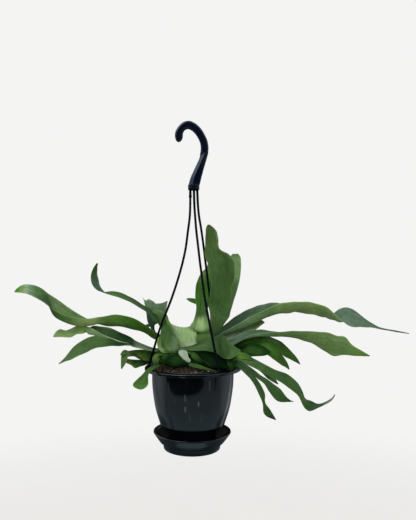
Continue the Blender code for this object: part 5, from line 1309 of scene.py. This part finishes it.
# Pot: a smooth barrel wall under an open flange with a hanging lip and a small bead at its mouth.
wall = [(63.4, -3.9), (63.15, -9.0), (62.95, -16.0), (62.6, -28.0), (61.7, -39.0), (60.0, -52.0), (57.7, -64.0), (54.6, -75.0), (52.2, -82.0)]
outside = smooth_profile(wall, 44)
outside = [(r + 0.5 * max(0.0, 1 - abs(z + 20) / 26), z) for r, z in outside]  # a faint swell under the flange
inside = [(r - WALL, z) for r, z in smooth_profile(wall[1:], 30)]
outline = [(0.0, -POT_DEPTH, 0), (NECK_RADIUS - WALL, -POT_DEPTH, 0.8), (NECK_RADIUS - WALL - 0.3, -NECK_FOOT, 0.4), (NECK_RADIUS - 0.3, -NECK_FOOT, 0.4)]
outline += [(NECK_RADIUS, -POT_DEPTH, 0.8), (50.4, -POT_DEPTH - 1.0, 1.1)]
outline += [(r, z, 0) for r, z in outside[::-1]]
outline += [(63.6, -2.15, 0.9), (73.3, -2.1, 0.5), (73.35, -4.2, 0.4), (75.0, -4.2, 0.6), (75.0, 0.0, 1.3), (64.2, 0.0, 0.5), (63.7, 0.55, 0.4), (62.2, 0.55, 0.45), (61.55, -1.2, 0.8)]
outline += [(r, z, 0) for r, z in inside] + [(47.4, -POT_DEPTH + WALL, 2.0), (0.0, -POT_DEPTH + WALL, 0)]


def lean(mesh, tip=0.0):
    """The pot hangs a touch out of plumb: push it left by its depth under the rim; tip in degrees."""
    at = np.empty(len(mesh.vertices) * 3)
    mesh.vertices.foreach_get("co", at)
    at = (at.reshape(-1, 3) - RIM) / MM
    if tip:
        side, down = at[:, 0].copy(), at[:, 2] + 112.0
        a = math.radians(tip)
        at[:, 0] = side * math.cos(a) + down * math.sin(a) - 0.5
        at[:, 2] = down * math.cos(a) - side * math.sin(a) - 112.0
    at[:, 0] += np.minimum(at[:, 2] + 5.0, 0.0) * math.tan(math.radians(0.48))
    mesh.vertices.foreach_set("co", (at * MM + RIM).ravel())
    mesh.update()


pot_mesh = mesh_from("pot_shell", *turned_shape(rounded(outline), SIDES))
holes = []
for angle in ANCHOR_ANGLES.values():
    a = math.radians(angle)
    holes.append(upright_rod((ANCHOR_RADIUS * math.cos(a), ANCHOR_RADIUS * math.sin(a)), 2.1, -5.0, 3.0))
for k in range(5):
    a = math.radians(90 + 72 * k)
    holes.append(upright_rod((22 * math.cos(a), 22 * math.sin(a)), 4.0, -POT_DEPTH - 3, -POT_DEPTH + 5))
for k in range(4):
    holes.append(block([(33, -118.6), (39, -118.6), (39, -113.6), (33, -113.6)], 11.0, 45 + 90 * k))
    holes.append(block([(33, -124), (39, -124), (39, -119.0), (33, -119.0)], 12.0, 90 * k))
pot_mesh = carve(pot_mesh, holes)
shade(pot_mesh, 38)
lean(pot_mesh)
piece("pot_shell", pot_mesh, POT_FINISH, ["pot"])


# Saucer: a flared dish on a short straight foot, ringed floor, rolled edge and four clips.
flare_out = smooth_profile([(44.5, -121.6), (45.2, -119.9), (47.3, -117.3), (50.3, -114.9)], 9)
flare_out = np.concatenate([flare_out, smooth_profile([(50.7, -114.4), (53.5, -110.7), (56.2, -106.8), (58.3, -103.8), (59.7, -101.9)], 14)])
flare_in = smooth_profile([(58.0, -102.4), (54.9, -106.5), (51.4, -110.9), (47.8, -115.2), (44.4, -119.0), (42.8, -122.2)], 22)
outline = [(0.0, -125.9, 0), (38.0, -125.9, 0.3), (39.0, -126.4, 0.3), (43.9, -126.4, 0.9), (44.3, -122.6, 0.5), (44.7, -122.2, 0.2)]
outline += [(r, z, 0) for r, z in flare_out] + [(60.2, -101.2, 0.5), (60.1, -99.4, 0.7), (58.3, -99.2, 0.6), (57.8, -101.4, 0.4)]
outline += [(r, z, 0) for r, z in flare_in] + [(42.4, -124.7, 1.0)]
for r in (30.0, 24.0, 12.0):
    outline += [(r + 0.9, -124.7, 0.3), (r + 0.5, -124.2, 0.2), (r - 0.5, -124.2, 0.2), (r - 0.9, -124.7, 0.3)]
outline += [(0.0, -124.7, 0)]
saucer_mesh = mesh_from("saucer_dish", *turned_shape(rounded(outline), SIDES))
clip_outline = [(38.0, -125.5), (39.7, -125.5), (39.7, -113.4), (38.6, -113.4), (35.8, -115.6), (35.8, -116.4), (38.0, -116.4)]
saucer_mesh = carve(saucer_mesh, [block(clip_outline, 9.0, 45 + 90 * k) for k in range(4)], "UNION")
shade(saucer_mesh, 38)
lean(saucer_mesh, 0.8)
saucer_mesh.materials.clear()
# inside faces take the shaded copy; the outer band below -110.9 mm takes the darker foot copy as painted shade
for face in saucer_mesh.polygons:
    spot = (np.array(face.center) - RIM) / MM
    inward = face.normal.x * spot[0] + face.normal.y * spot[1] < 0 or face.normal.z > 0.7
    face.material_index = 1 if inward and spot[2] < -99.8 and math.hypot(spot[0], spot[1]) < 58.6 else 2 if spot[2] < -110.9 and not inward else 0
saucer_dish = piece("saucer_dish", saucer_mesh, SAUCER_FINISH, ["saucer"])
saucer_mesh.materials.append(SAUCER_INSIDE)
saucer_mesh.materials.append(SAUCER_FOOT_SHADED)

# Hook: rows of (outer edge, inner edge) from the tip round to the foot.  The bow is a rounded bar with a
# shallow channel down each face; below the shoulder the shank is a ridged prism that widens to the collar.
HOOK_ROWS = [
    ((176.9, 142.0), (181.3, 141.2)), ((175.3, 138.6), (182.6, 138.0)), ((175.6, 131.2), (183.2, 132.8)),
    ((179.0, 125.8), (184.7, 130.4)), ((183.2, 122.2), (186.5, 129.3)), ((188.6, 120.9), (188.6, 129.1)),
    ((194.6, 123.0), (192.0, 130.8)), ((200.6, 128.2), (195.7, 134.6)), ((204.4, 134.0), (198.4, 139.0)),
    ((207.4, 140.6), (200.1, 143.3)), ((208.5, 147.0), (200.7, 147.8)), ((208.3, 152.0), (200.4, 152.4)),
    ((207.1, 157.4), (199.4, 158.0)), ((205.4, 163.4), (197.0, 163.6)), ((203.3, 170.6), (193.6, 170.8)),
    ((201.5, 177.4), (190.6, 177.6)), ((199.9, 184.0), (188.6, 184.2)), ((199.3, 186.0), (188.0, 186.0)),
]
outer = np.array([sheet_point((*o, 0)) for o, _ in HOOK_ROWS])
inner = np.array([sheet_point((*i, 0)) for _, i in HOOK_ROWS])
middle = (outer + inner) / 2
s = np.concatenate([[0], np.cumsum(np.linalg.norm(np.diff(middle, axis=0), axis=1))])
t = np.linspace(0, s[-1], 150)
outer, inner = curve_at(s, outer, slopes(s, outer), t), curve_at(s, inner, slopes(s, inner), t)
shoulder = s[11] + 1.0
around = 2 * math.pi * (np.arange(40) + 0.5) / 40


def bar_section():
    """Rounded bar: (-1 inner .. 1 outer, -1 front .. 1 back), with a shallow channel in each face."""
    x = np.sign(np.cos(around)) * np.abs(np.cos(around)) ** 0.72
    y = np.sign(np.sin(around)) * np.abs(np.sin(around)) ** 0.72
    channel = np.clip(1 - (np.abs(x + 0.05) / 0.42) ** 4, 0, 1)
    return x, y * (1 - 0.07 * channel * (np.abs(y) > 0.5))


def prism_section():
    """Ridged shank: the front and back ridges lie towards the inner edge, and both edges are blunt."""
    corners = [(1.0, 0.32), (0.86, 0.55), (-0.10, 1.0), (-0.30, 1.0), (-0.96, 0.34), (-1.0, 0.12), (-1.0, -0.12), (-0.96, -0.34), (-0.30, -1.0), (-0.10, -1.0), (0.86, -0.55), (1.0, -0.32)]
    path = np.array(corners + corners[:1])
    d = np.concatenate([[0], np.cumsum(np.linalg.norm(np.diff(path, axis=0), axis=1))])
    q = np.linspace(0, d[-1], 41)[:-1] + 0.02
    return np.interp(q, d, path[:, 0]), np.interp(q, d, path[:, 1])


bx, by = bar_section()
px, py = prism_section()
points = []
for k in range(len(t)):
    lower = float(np.clip((t[k] - shoulder) / 1.6, 0, 1))
    x, y = bx * (1 - lower) + px * lower, by * (1 - lower) + py * lower
    x = x + lower * (0.08 + 0.42 * math.exp(-max(0.0, t[k] - shoulder) / 12.3)) * (1 - x * x)  # the ridge slants across
    swell = 1.0 + 0.05 * math.exp(-(((t[k] - shoulder - 1.4) / 1.3) ** 2))
    tip = min(1.0, 0.70 + 0.30 * math.sqrt(min(1.0, t[k] / 2.8)))
    mid, half = (outer[k] + inner[k]) / 2, (outer[k] - inner[k]) / 2
    for i in range(40):
        p = mid + half * x[i] * swell * (tip if k < 12 else 1.0)
        points.append((p[0], p[1] + 4.3 * y[i] * swell * tip, p[2]))
faces = [tuple(range(40)), tuple(reversed(range((len(t) - 1) * 40, len(t) * 40)))]
faces += [(k * 40 + i, (k + 1) * 40 + i, (k + 1) * 40 + (i + 1) % 40, k * 40 + (i + 1) % 40) for k in range(len(t) - 1) for i in range(40)]
collar_outline = rounded([(0.0, COLLAR_BASE, 0), (8.3, COLLAR_BASE, 0.5), (8.9, COLLAR_BASE + 0.9, 0.4), (8.9, COLLAR_TOP - 1.0, 0.6), (8.0, COLLAR_TOP, 0.7), (0.0, COLLAR_TOP, 0)])
hook_mesh = mesh_from("hook_moulding", points, faces)
hook_mesh = carve(hook_mesh, [turned_shape(collar_outline, 48, (1.1, 0.0))], "UNION")
hook_mesh = carve(hook_mesh, [upright_rod(spot, 1.9, COLLAR_BASE - 3, COLLAR_BASE + 5.4) for spot in SOCKETS.values()])
shade(hook_mesh, 30)
for face in hook_mesh.polygons:
    face.material_index = int((face.center.z - RIM[2]) / MM < COLLAR_TOP + 0.05)
piece("hook_moulding", hook_mesh, HOOK_FINISH, ["hook"])
hook_mesh.materials.append(COLLAR_FINISH)

# Strands: moulded cords with a thicker sleeve out of the collar, and at the rim a shouldered button
# above the flange and a barb below it.
STRANDS = {
    "left": [(190.3, 196), (190.2, 206), (189.8, 216), (188.0, 230.6), (185.4, 249.7), (181.9, 265.3), (178.2, 278.3),
             (174.7, 289.4), (170.8, 300.6), (166.3, 312), (161.9, 323), (158.2, 334), (155.2, 344.4), (152.2, 354.6), (150.1, 361.6)],
    "front_right": [(194.1, 196), (194.4, 206), (195.1, 216), (196.2, 229.7), (198.0, 245.3), (199.7, 260.1), (201.4, 273),
                    (203.2, 287), (205.3, 301), (207.6, 313.4), (209.6, 324), (211.8, 335), (213.9, 346), (216.2, 357.6), (218.4, 367.4)],
    "back_right": [(197.5, 196), (198.0, 206), (199.0, 216), (201.0, 228), (203.2, 243.6), (205.3, 260.9), (207.4, 277.4),
                   (209.4, 293), (211.2, 308), (212.8, 321), (214.4, 334), (216.0, 345.5), (217.3, 355)],
}
SLEEVES = {"left": (9.5, 2.05), "front_right": (22.0, 1.95), "back_right": (26.0, 1.9)}  # length below the collar, radius


def tube(points, radii, sides):
    points = np.array(points, float)
    ahead = np.gradient(points, axis=0)
    ahead /= np.maximum(np.linalg.norm(ahead, axis=1), 1e-9)[:, None]
    rings = []
    for p, d, r in zip(points, ahead, radii):
        u = np.cross(d, (0.0, 1.0, 0.0))
        u /= np.linalg.norm(u)
        v = np.cross(d, u)
        rings += [p + r * (math.cos(a) * u + math.sin(a) * v) for a in 2 * math.pi * np.arange(sides) / sides]
    k = len(points)
    faces = [tuple(range(sides)), tuple(reversed(range((k - 1) * sides, k * sides)))]
    faces += [(j * sides + i, (j + 1) * sides + i, (j + 1) * sides + (i + 1) % sides, j * sides + (i + 1) % sides) for j in range(k - 1) for i in range(sides)]
    return rings, faces


for name, route in STRANDS.items():
    a = math.radians(ANCHOR_ANGLES[name])
    foot = (ANCHOR_RADIUS * math.cos(a), ANCHOR_RADIUS * math.sin(a))
    socket = SOCKETS[name]
    knots = [(*socket, COLLAR_BASE + 4.6), (*socket, COLLAR_BASE + 0.2)]
    for column, row in route:
        out = (column - route[0][0]) / (route[-1][0] - route[0][0])
        knots.append(sheet_point((column, row, socket[1] + (foot[1] - socket[1]) * out * 0.97)))
    knots = np.array(knots + [(*foot, 2.9)])
    s = np.concatenate([[0], np.cumsum(np.linalg.norm(np.diff(knots, axis=0), axis=1))])
    t = np.unique(np.concatenate([[0.0], s[1] + np.arange(0, 34, 1.0), np.linspace(s[1] + 34, s[-1], 90)]))
    path = list(curve_at(s, knots, slopes(s, knots), t))
    length, sleeve = SLEEVES[name]
    down = t - s[1]
    radii = 1.82 + (sleeve - 1.82) * np.clip((length - down) / (3.0 if name != "left" else 0.8) + 0.5, 0, 1)
    if name == "left":
        radii = radii + 0.85 * np.exp(-(((down - length - 0.8) / 1.3) ** 2))
    radii = np.minimum(radii, np.where(down < 0.3, 1.72, 9.0))
    radii = list(np.where(t > s[-1] - 5, 1.82 + 0.25 * (t - s[-1] + 5) / 5, radii))
    x, y = foot
    for z, r in ((2.55, 2.2), (2.2, 2.65), (1.0, 2.75), (0.72, 2.55), (0.66, 1.5), (-2.5, 1.5), (-2.62, 2.5), (-2.9, 2.85), (-4.4, 2.3), (-5.9, 1.5), (-6.3, 0.9)):
        path.append((x, y, z))
        radii.append(r)
    strand_mesh = mesh_from("strand_" + name, *tube(path, radii, 16))
    outward(strand_mesh)
    shade(strand_mesh, 50)
    piece("strand_" + name, strand_mesh, STRAND_FINISH, ["hanger_strand_" + name])

# ---------------------------------------------------------------------------------------------
# Potting mix and rhizome
# ---------------------------------------------------------------------------------------------


def lumpy(points, size, seed, octaves=4):
    """Bumpy noise over space, 0 on average."""
    out = np.zeros(len(points))
    for k in range(octaves):
        out += smooth_noise(points, size / 2.1**k, seed + 31 * k)[:, 0] / 1.7**k
    return out


def soil_height(x, y):
    r = np.hypot(x, y)
    flat = np.stack([x, y, np.zeros_like(x)], axis=1)
    return mix_top(r) + (0.75 * lumpy(flat, 7.0, 301) + 0.45 * lumpy(flat, 2.6, 77, 2)) * np.clip((61.0 - r) / 4, 0.25, 1)


def bed_marks(mesh, tint, place=None):
    count = len(mesh.vertices)
    point_colours(mesh, "tint", tint if isinstance(tint, np.ndarray) else np.tile(tint, (count, 1)))
    data = mesh.attributes.new("place", "FLOAT_VECTOR", "POINT")
    rows = np.zeros((count, 3), np.float32) if place is None else place.astype(np.float32)
    data.data.foreach_set("vector", rows.ravel())


rings, spokes = ((52, 170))
reach = 60.5 * (np.arange(1, rings + 1) / rings) ** 0.9
turn = 2 * math.pi * np.arange(spokes) / spokes
gx, gy = np.outer(reach, np.cos(turn)).ravel(), np.outer(reach, np.sin(turn)).ravel()
top_points = np.stack([gx, gy, soil_height(gx, gy)], axis=1)
wall_rings = [(60.7, -9.0), (60.1, -28.0), (59.2, -39.0), (57.5, -52.0), (55.2, -64.0), (52.1, -75.0), (45.4, -84.8)]
points = [(0.0, 0.0, 8.2)] + [tuple(p) for p in top_points]
faces = [(0, 1 + i, 1 + (i + 1) % spokes) for i in range(spokes)]
for r, z in wall_rings:
    points += [(r * math.cos(a), r * math.sin(a), z) for a in turn]
for k in range(rings + len(wall_rings) - 1):
    a, b = 1 + k * spokes, 1 + (k + 1) * spokes
    faces += [(a + i, b + i, b + (i + 1) % spokes, a + (i + 1) % spokes) for i in range(spokes)]
last = 1 + (rings + len(wall_rings) - 1) * spokes
points.append((0.0, 0.0, -84.8))
faces += [(last + i, len(points) - 1, last + (i + 1) % spokes) for i in range(spokes)]
bed_mesh = mesh_from("potting_mix_bed", points, faces)
outward(bed_mesh)
bed_marks(bed_mesh, (0.55, 0.52, 0.50))
piece("potting_mix_bed", bed_mesh, BARK, ["potting_mix"])

# one chip: a rounded block with broken ends
CHIP = [(x, y, z) for x in (-1, 0, 1) for y in (-1, 0, 1) for z in (-1, 0, 1) if (x, y, z) != (0, 0, 0)]
_index = {p: i for i, p in enumerate(CHIP)}
CHIP_FACES = []
for axis in range(3):
    for side in (-1, 1):
        for u in (-1, 0):
            for v in (-1, 0):
                quad = []
                for du, dv in ((0, 0), (1, 0), (1, 1), (0, 1)):
                    q = [0, 0, 0]
                    q[axis], q[(axis + 1) % 3], q[(axis + 2) % 3] = side, u + du, v + dv
                    quad.append(_index[tuple(q)])
                CHIP_FACES.append(tuple(quad if side > 0 else reversed(quad)))
CHIP = np.array(CHIP, float)
CHIP_ROUND = CHIP / np.linalg.norm(CHIP, axis=1)[:, None] ** 0.55


def turn_matrix(rng, tilt):
    a = rng.uniform(0, 2 * math.pi)
    x, y = rng.normal(0, math.radians(tilt), 2)
    ca, sa, cx, sx, cy, sy = math.cos(a), math.sin(a), math.cos(x), math.sin(x), math.cos(y), math.sin(y)
    rz = np.array(((ca, -sa, 0), (sa, ca, 0), (0, 0, 1)))
    rx = np.array(((1, 0, 0), (0, cx, -sx), (0, sx, cx)))
    ry = np.array(((cy, 0, sy), (0, 1, 0), (-sy, 0, cy)))
    return ry @ rx @ rz


rng = np.random.default_rng(11)
points, faces, tints, places = [], [], [], []
for k in range(760):
    r = 59.6 * math.sqrt(rng.uniform(0.0, 1.0))
    a = rng.uniform(0, 2 * math.pi)
    x, y = r * math.cos(a), r * math.sin(a)
    long = rng.uniform(1.3, 4.2) * (0.8 if r > 56 else 1)
    size = np.array((long, long * rng.uniform(0.35, 0.7), rng.uniform(0.45, 1.1)))
    shape = CHIP_ROUND * size * (1 + rng.normal(0, 0.13, CHIP.shape))
    shape = shape @ turn_matrix(rng, 22).T
    centre = np.array((x, y, float(soil_height(np.array([x]), np.array([y]))[0]) + rng.uniform(-0.2, 1.1)))
    shape += centre
    far = np.hypot(shape[:, 0], shape[:, 1])
    shape[:, :2] *= np.minimum(1, 60.7 / np.maximum(far, 1e-6))[:, None]
    base = len(points)
    points += shape.tolist()
    faces += [tuple(base + i for i in f) for f in CHIP_FACES]
    light = rng.uniform(0.35, 1.5)
    red = rng.uniform(0.85, 1.2)
    tints += [(light * red, light, light * rng.uniform(0.75, 1.0))] * len(CHIP)
    places += [(rng.uniform(0, 40), rng.uniform(0, 40), 0)] * len(CHIP)
chip_mesh = mesh_from("bark_chips", points, faces)
outward(chip_mesh)
shade(chip_mesh, 50)
bed_marks(chip_mesh, np.array(tints), np.array(places))
piece("bark_chips", chip_mesh, BARK)

points, faces = [], []
for k in range(46):
    r, a = 58.5 * math.sqrt(rng.uniform(0.05, 1.0)), rng.uniform(0, 2 * math.pi)
    if k < 7:
        r, a = rng.uniform(50, 58), math.radians(rng.uniform(225, 300))
    x, y = r * math.cos(a), r * math.sin(a)
    shape = CHIP_ROUND * rng.uniform(0.45, 1.15) * (1 + rng.normal(0, 0.12, CHIP.shape)) @ turn_matrix(rng, 60).T
    shape += (x, y, float(soil_height(np.array([x]), np.array([y]))[0]) + 1.1)
    base = len(points)
    points += shape.tolist()
    faces += [tuple(base + i for i in f) for f in CHIP_FACES]
perlite_mesh = mesh_from("perlite_grains", points, faces)
outward(perlite_mesh)
piece("perlite_grains", perlite_mesh, PERLITE)


def fibre(rng, start, heading, length, radius, rise, sides=4, steps=9, wander=0.5):
    """A thin root or fibre that follows the soil, drawn as a tapering tube."""
    p, h, path = np.array(start, float), heading, []
    for _ in range(steps + 1):
        path.append(p.copy())
        h += rng.normal(0, wander)
        p = p + np.array((math.cos(h), math.sin(h), rise * length / steps)) * (length / steps, length / steps, 1)
    return path, radius * np.linspace(1, 0.35, steps + 1)


shapes = []
for k in range(170):
    r, a = 58 * math.sqrt(rng.uniform(0.02, 1.0)), rng.uniform(0, 2 * math.pi)
    x, y = r * math.cos(a), r * math.sin(a)
    path, radii = fibre(rng, (x, y, 0), rng.uniform(0, 6.3), rng.uniform(5, 17), rng.uniform(0.14, 0.30), 0)
    path = np.array(path)
    far = np.hypot(path[:, 0], path[:, 1])
    path[:, :2] *= np.minimum(1, 60.0 / np.maximum(far, 1e-6))[:, None]
    lift = rng.uniform(0.6, 1.6) + 1.3 * np.sin(np.linspace(0.2, 2.9, len(path))) * rng.uniform(0, 1)
    path[:, 2] = soil_height(path[:, 0], path[:, 1]) + lift
    shapes.append(tube(path, radii, 4))
fibre_mesh = mesh_from("mix_fibres", *join_shapes(shapes))
outward(fibre_mesh)
bed_marks(fibre_mesh, (1.5, 1.25, 1.0))
piece("mix_fibres", fibre_mesh, BARK)

# Rhizome: a low woody crown, rough with old stalk bases, under brown papery scales and wiry roots.
rings, spokes = ((40, 140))
points, faces = [], []


def crown_height(x, y):
    flat = np.stack([x, y, np.zeros_like(x)], axis=1)
    floor = mix_top(np.hypot(x, y)) + 0.6
    return floor + crown_rise(x, y) * (1 + 0.16 * lumpy(flat, 5.5, 911)) + 0.5 * lumpy(flat, 2.2, 65, 2)


for level in (0, 1):
    k = np.arange(1, rings + 1) / rings
    cx = (-3 + 47 * np.outer(k, np.cos(2 * math.pi * np.arange(spokes) / spokes))).ravel()
    cy = (13 + 24 * np.outer(k, np.sin(2 * math.pi * np.arange(spokes) / spokes))).ravel()
    if level:
        z = crown_height(cx, cy)
    else:
        z = mix_top(np.hypot(cx, cy)) - 0.6
    points += [(-3.0, 13.0, float(crown_height(np.array([-3.0]), np.array([13.0]))[0]) if level else 6.0)]
    points += np.stack([cx, cy, z], axis=1).tolist()
half = 1 + rings * spokes
for level in (0, 1):
    o = level * half
    faces += [(o, o + 1 + i, o + 1 + (i + 1) % spokes) for i in range(spokes)]
    for ring in range(rings - 1):
        a, b = o + 1 + ring * spokes, o + 1 + (ring + 1) * spokes
        faces += [(a + i, b + i, b + (i + 1) % spokes, a + (i + 1) % spokes) for i in range(spokes)]
edge = 1 + (rings - 1) * spokes
faces += [(edge + i, edge + (i + 1) % spokes, half + edge + (i + 1) % spokes, half + edge + i) for i in range(spokes)]
crown_mesh = mesh_from("rhizome_crown", points, faces)
outward(crown_mesh)
bed_marks(crown_mesh, (0.75, 0.75, 0.72))
piece("rhizome_crown", crown_mesh, CROWN_BARK, ["rhizome"])

points, faces, tints = [], [], []
for k in range(1500):
    u, a = math.sqrt(rng.uniform(0, 0.96)), rng.uniform(0, 2 * math.pi)
    x, y = -3 + 46 * u * math.cos(a), 13 + 23 * u * math.sin(a)
    here = np.array([x, x + 0.8, x]), np.array([y, y, y + 0.8])
    z = crown_height(*here)
    normal = np.array((-(z[1] - z[0]) / 0.8, -(z[2] - z[0]) / 0.8, 1.0))
    normal /= np.linalg.norm(normal)
    lean = np.array((rng.normal(), rng.normal(), 1.1))
    lean -= normal * (lean @ normal)
    lean /= np.linalg.norm(lean)
    side = np.cross(normal, lean)
    length, width = rng.uniform(2.2, 5.2), rng.uniform(0.35, 0.8)
    lift = rng.uniform(0.25, 0.8)
    base_point = np.array((x, y, z[0] - 0.2))
    base = len(points)
    for v, w, up in ((0, 0.7, 0.0), (0.35, 1.0, 0.35), (0.7, 0.7, 0.8), (1.0, 0.08, 1.3)):
        mid = base_point + lean * length * v + normal * lift * up * length * 0.3
        points += [tuple(mid - side * width * w), tuple(mid + side * width * w)]
    faces += [(base + 2 * i, base + 2 * i + 1, base + 2 * i + 3, base + 2 * i + 2) for i in range(3)]
    tone = rng.uniform(0.5, 1.7)
    tints += [(tone * 1.15, tone, tone * 0.8)] * 8
scale_mesh = mesh_from("rhizome_scales", points, faces)
bed_marks(scale_mesh, np.array(tints))
piece("rhizome_scales", scale_mesh, CROWN_BARK)

shapes = []
for k in range(90):
    u, a = rng.uniform(0.75, 1.02), rng.uniform(0, 2 * math.pi)
    x, y = -3 + 45 * u * math.cos(a), 13 + 23 * u * math.sin(a)
    path, radii = fibre(rng, (x, y, 0), a + rng.normal(0, 0.7), rng.uniform(8, 26), rng.uniform(0.25, 0.55), 0, wander=0.28)
    path = np.array(path)
    far = np.hypot(path[:, 0], path[:, 1])
    path[:, :2] *= np.minimum(1, 59.5 / np.maximum(far, 1e-6))[:, None]
    path[:, 2] = np.maximum(soil_height(path[:, 0], path[:, 1]), np.where(np.hypot((path[:, 0] + 3) / 47, (path[:, 1] - 13) / 24) < 1, crown_height(path[:, 0], path[:, 1]), -99)) + 0.5
    shapes.append(tube(path, radii, 5))
root_mesh = mesh_from("wiry_roots", *join_shapes(shapes))
outward(root_mesh)
bed_marks(root_mesh, (0.8, 0.6, 0.45))
piece("wiry_roots", root_mesh, CROWN_BARK)
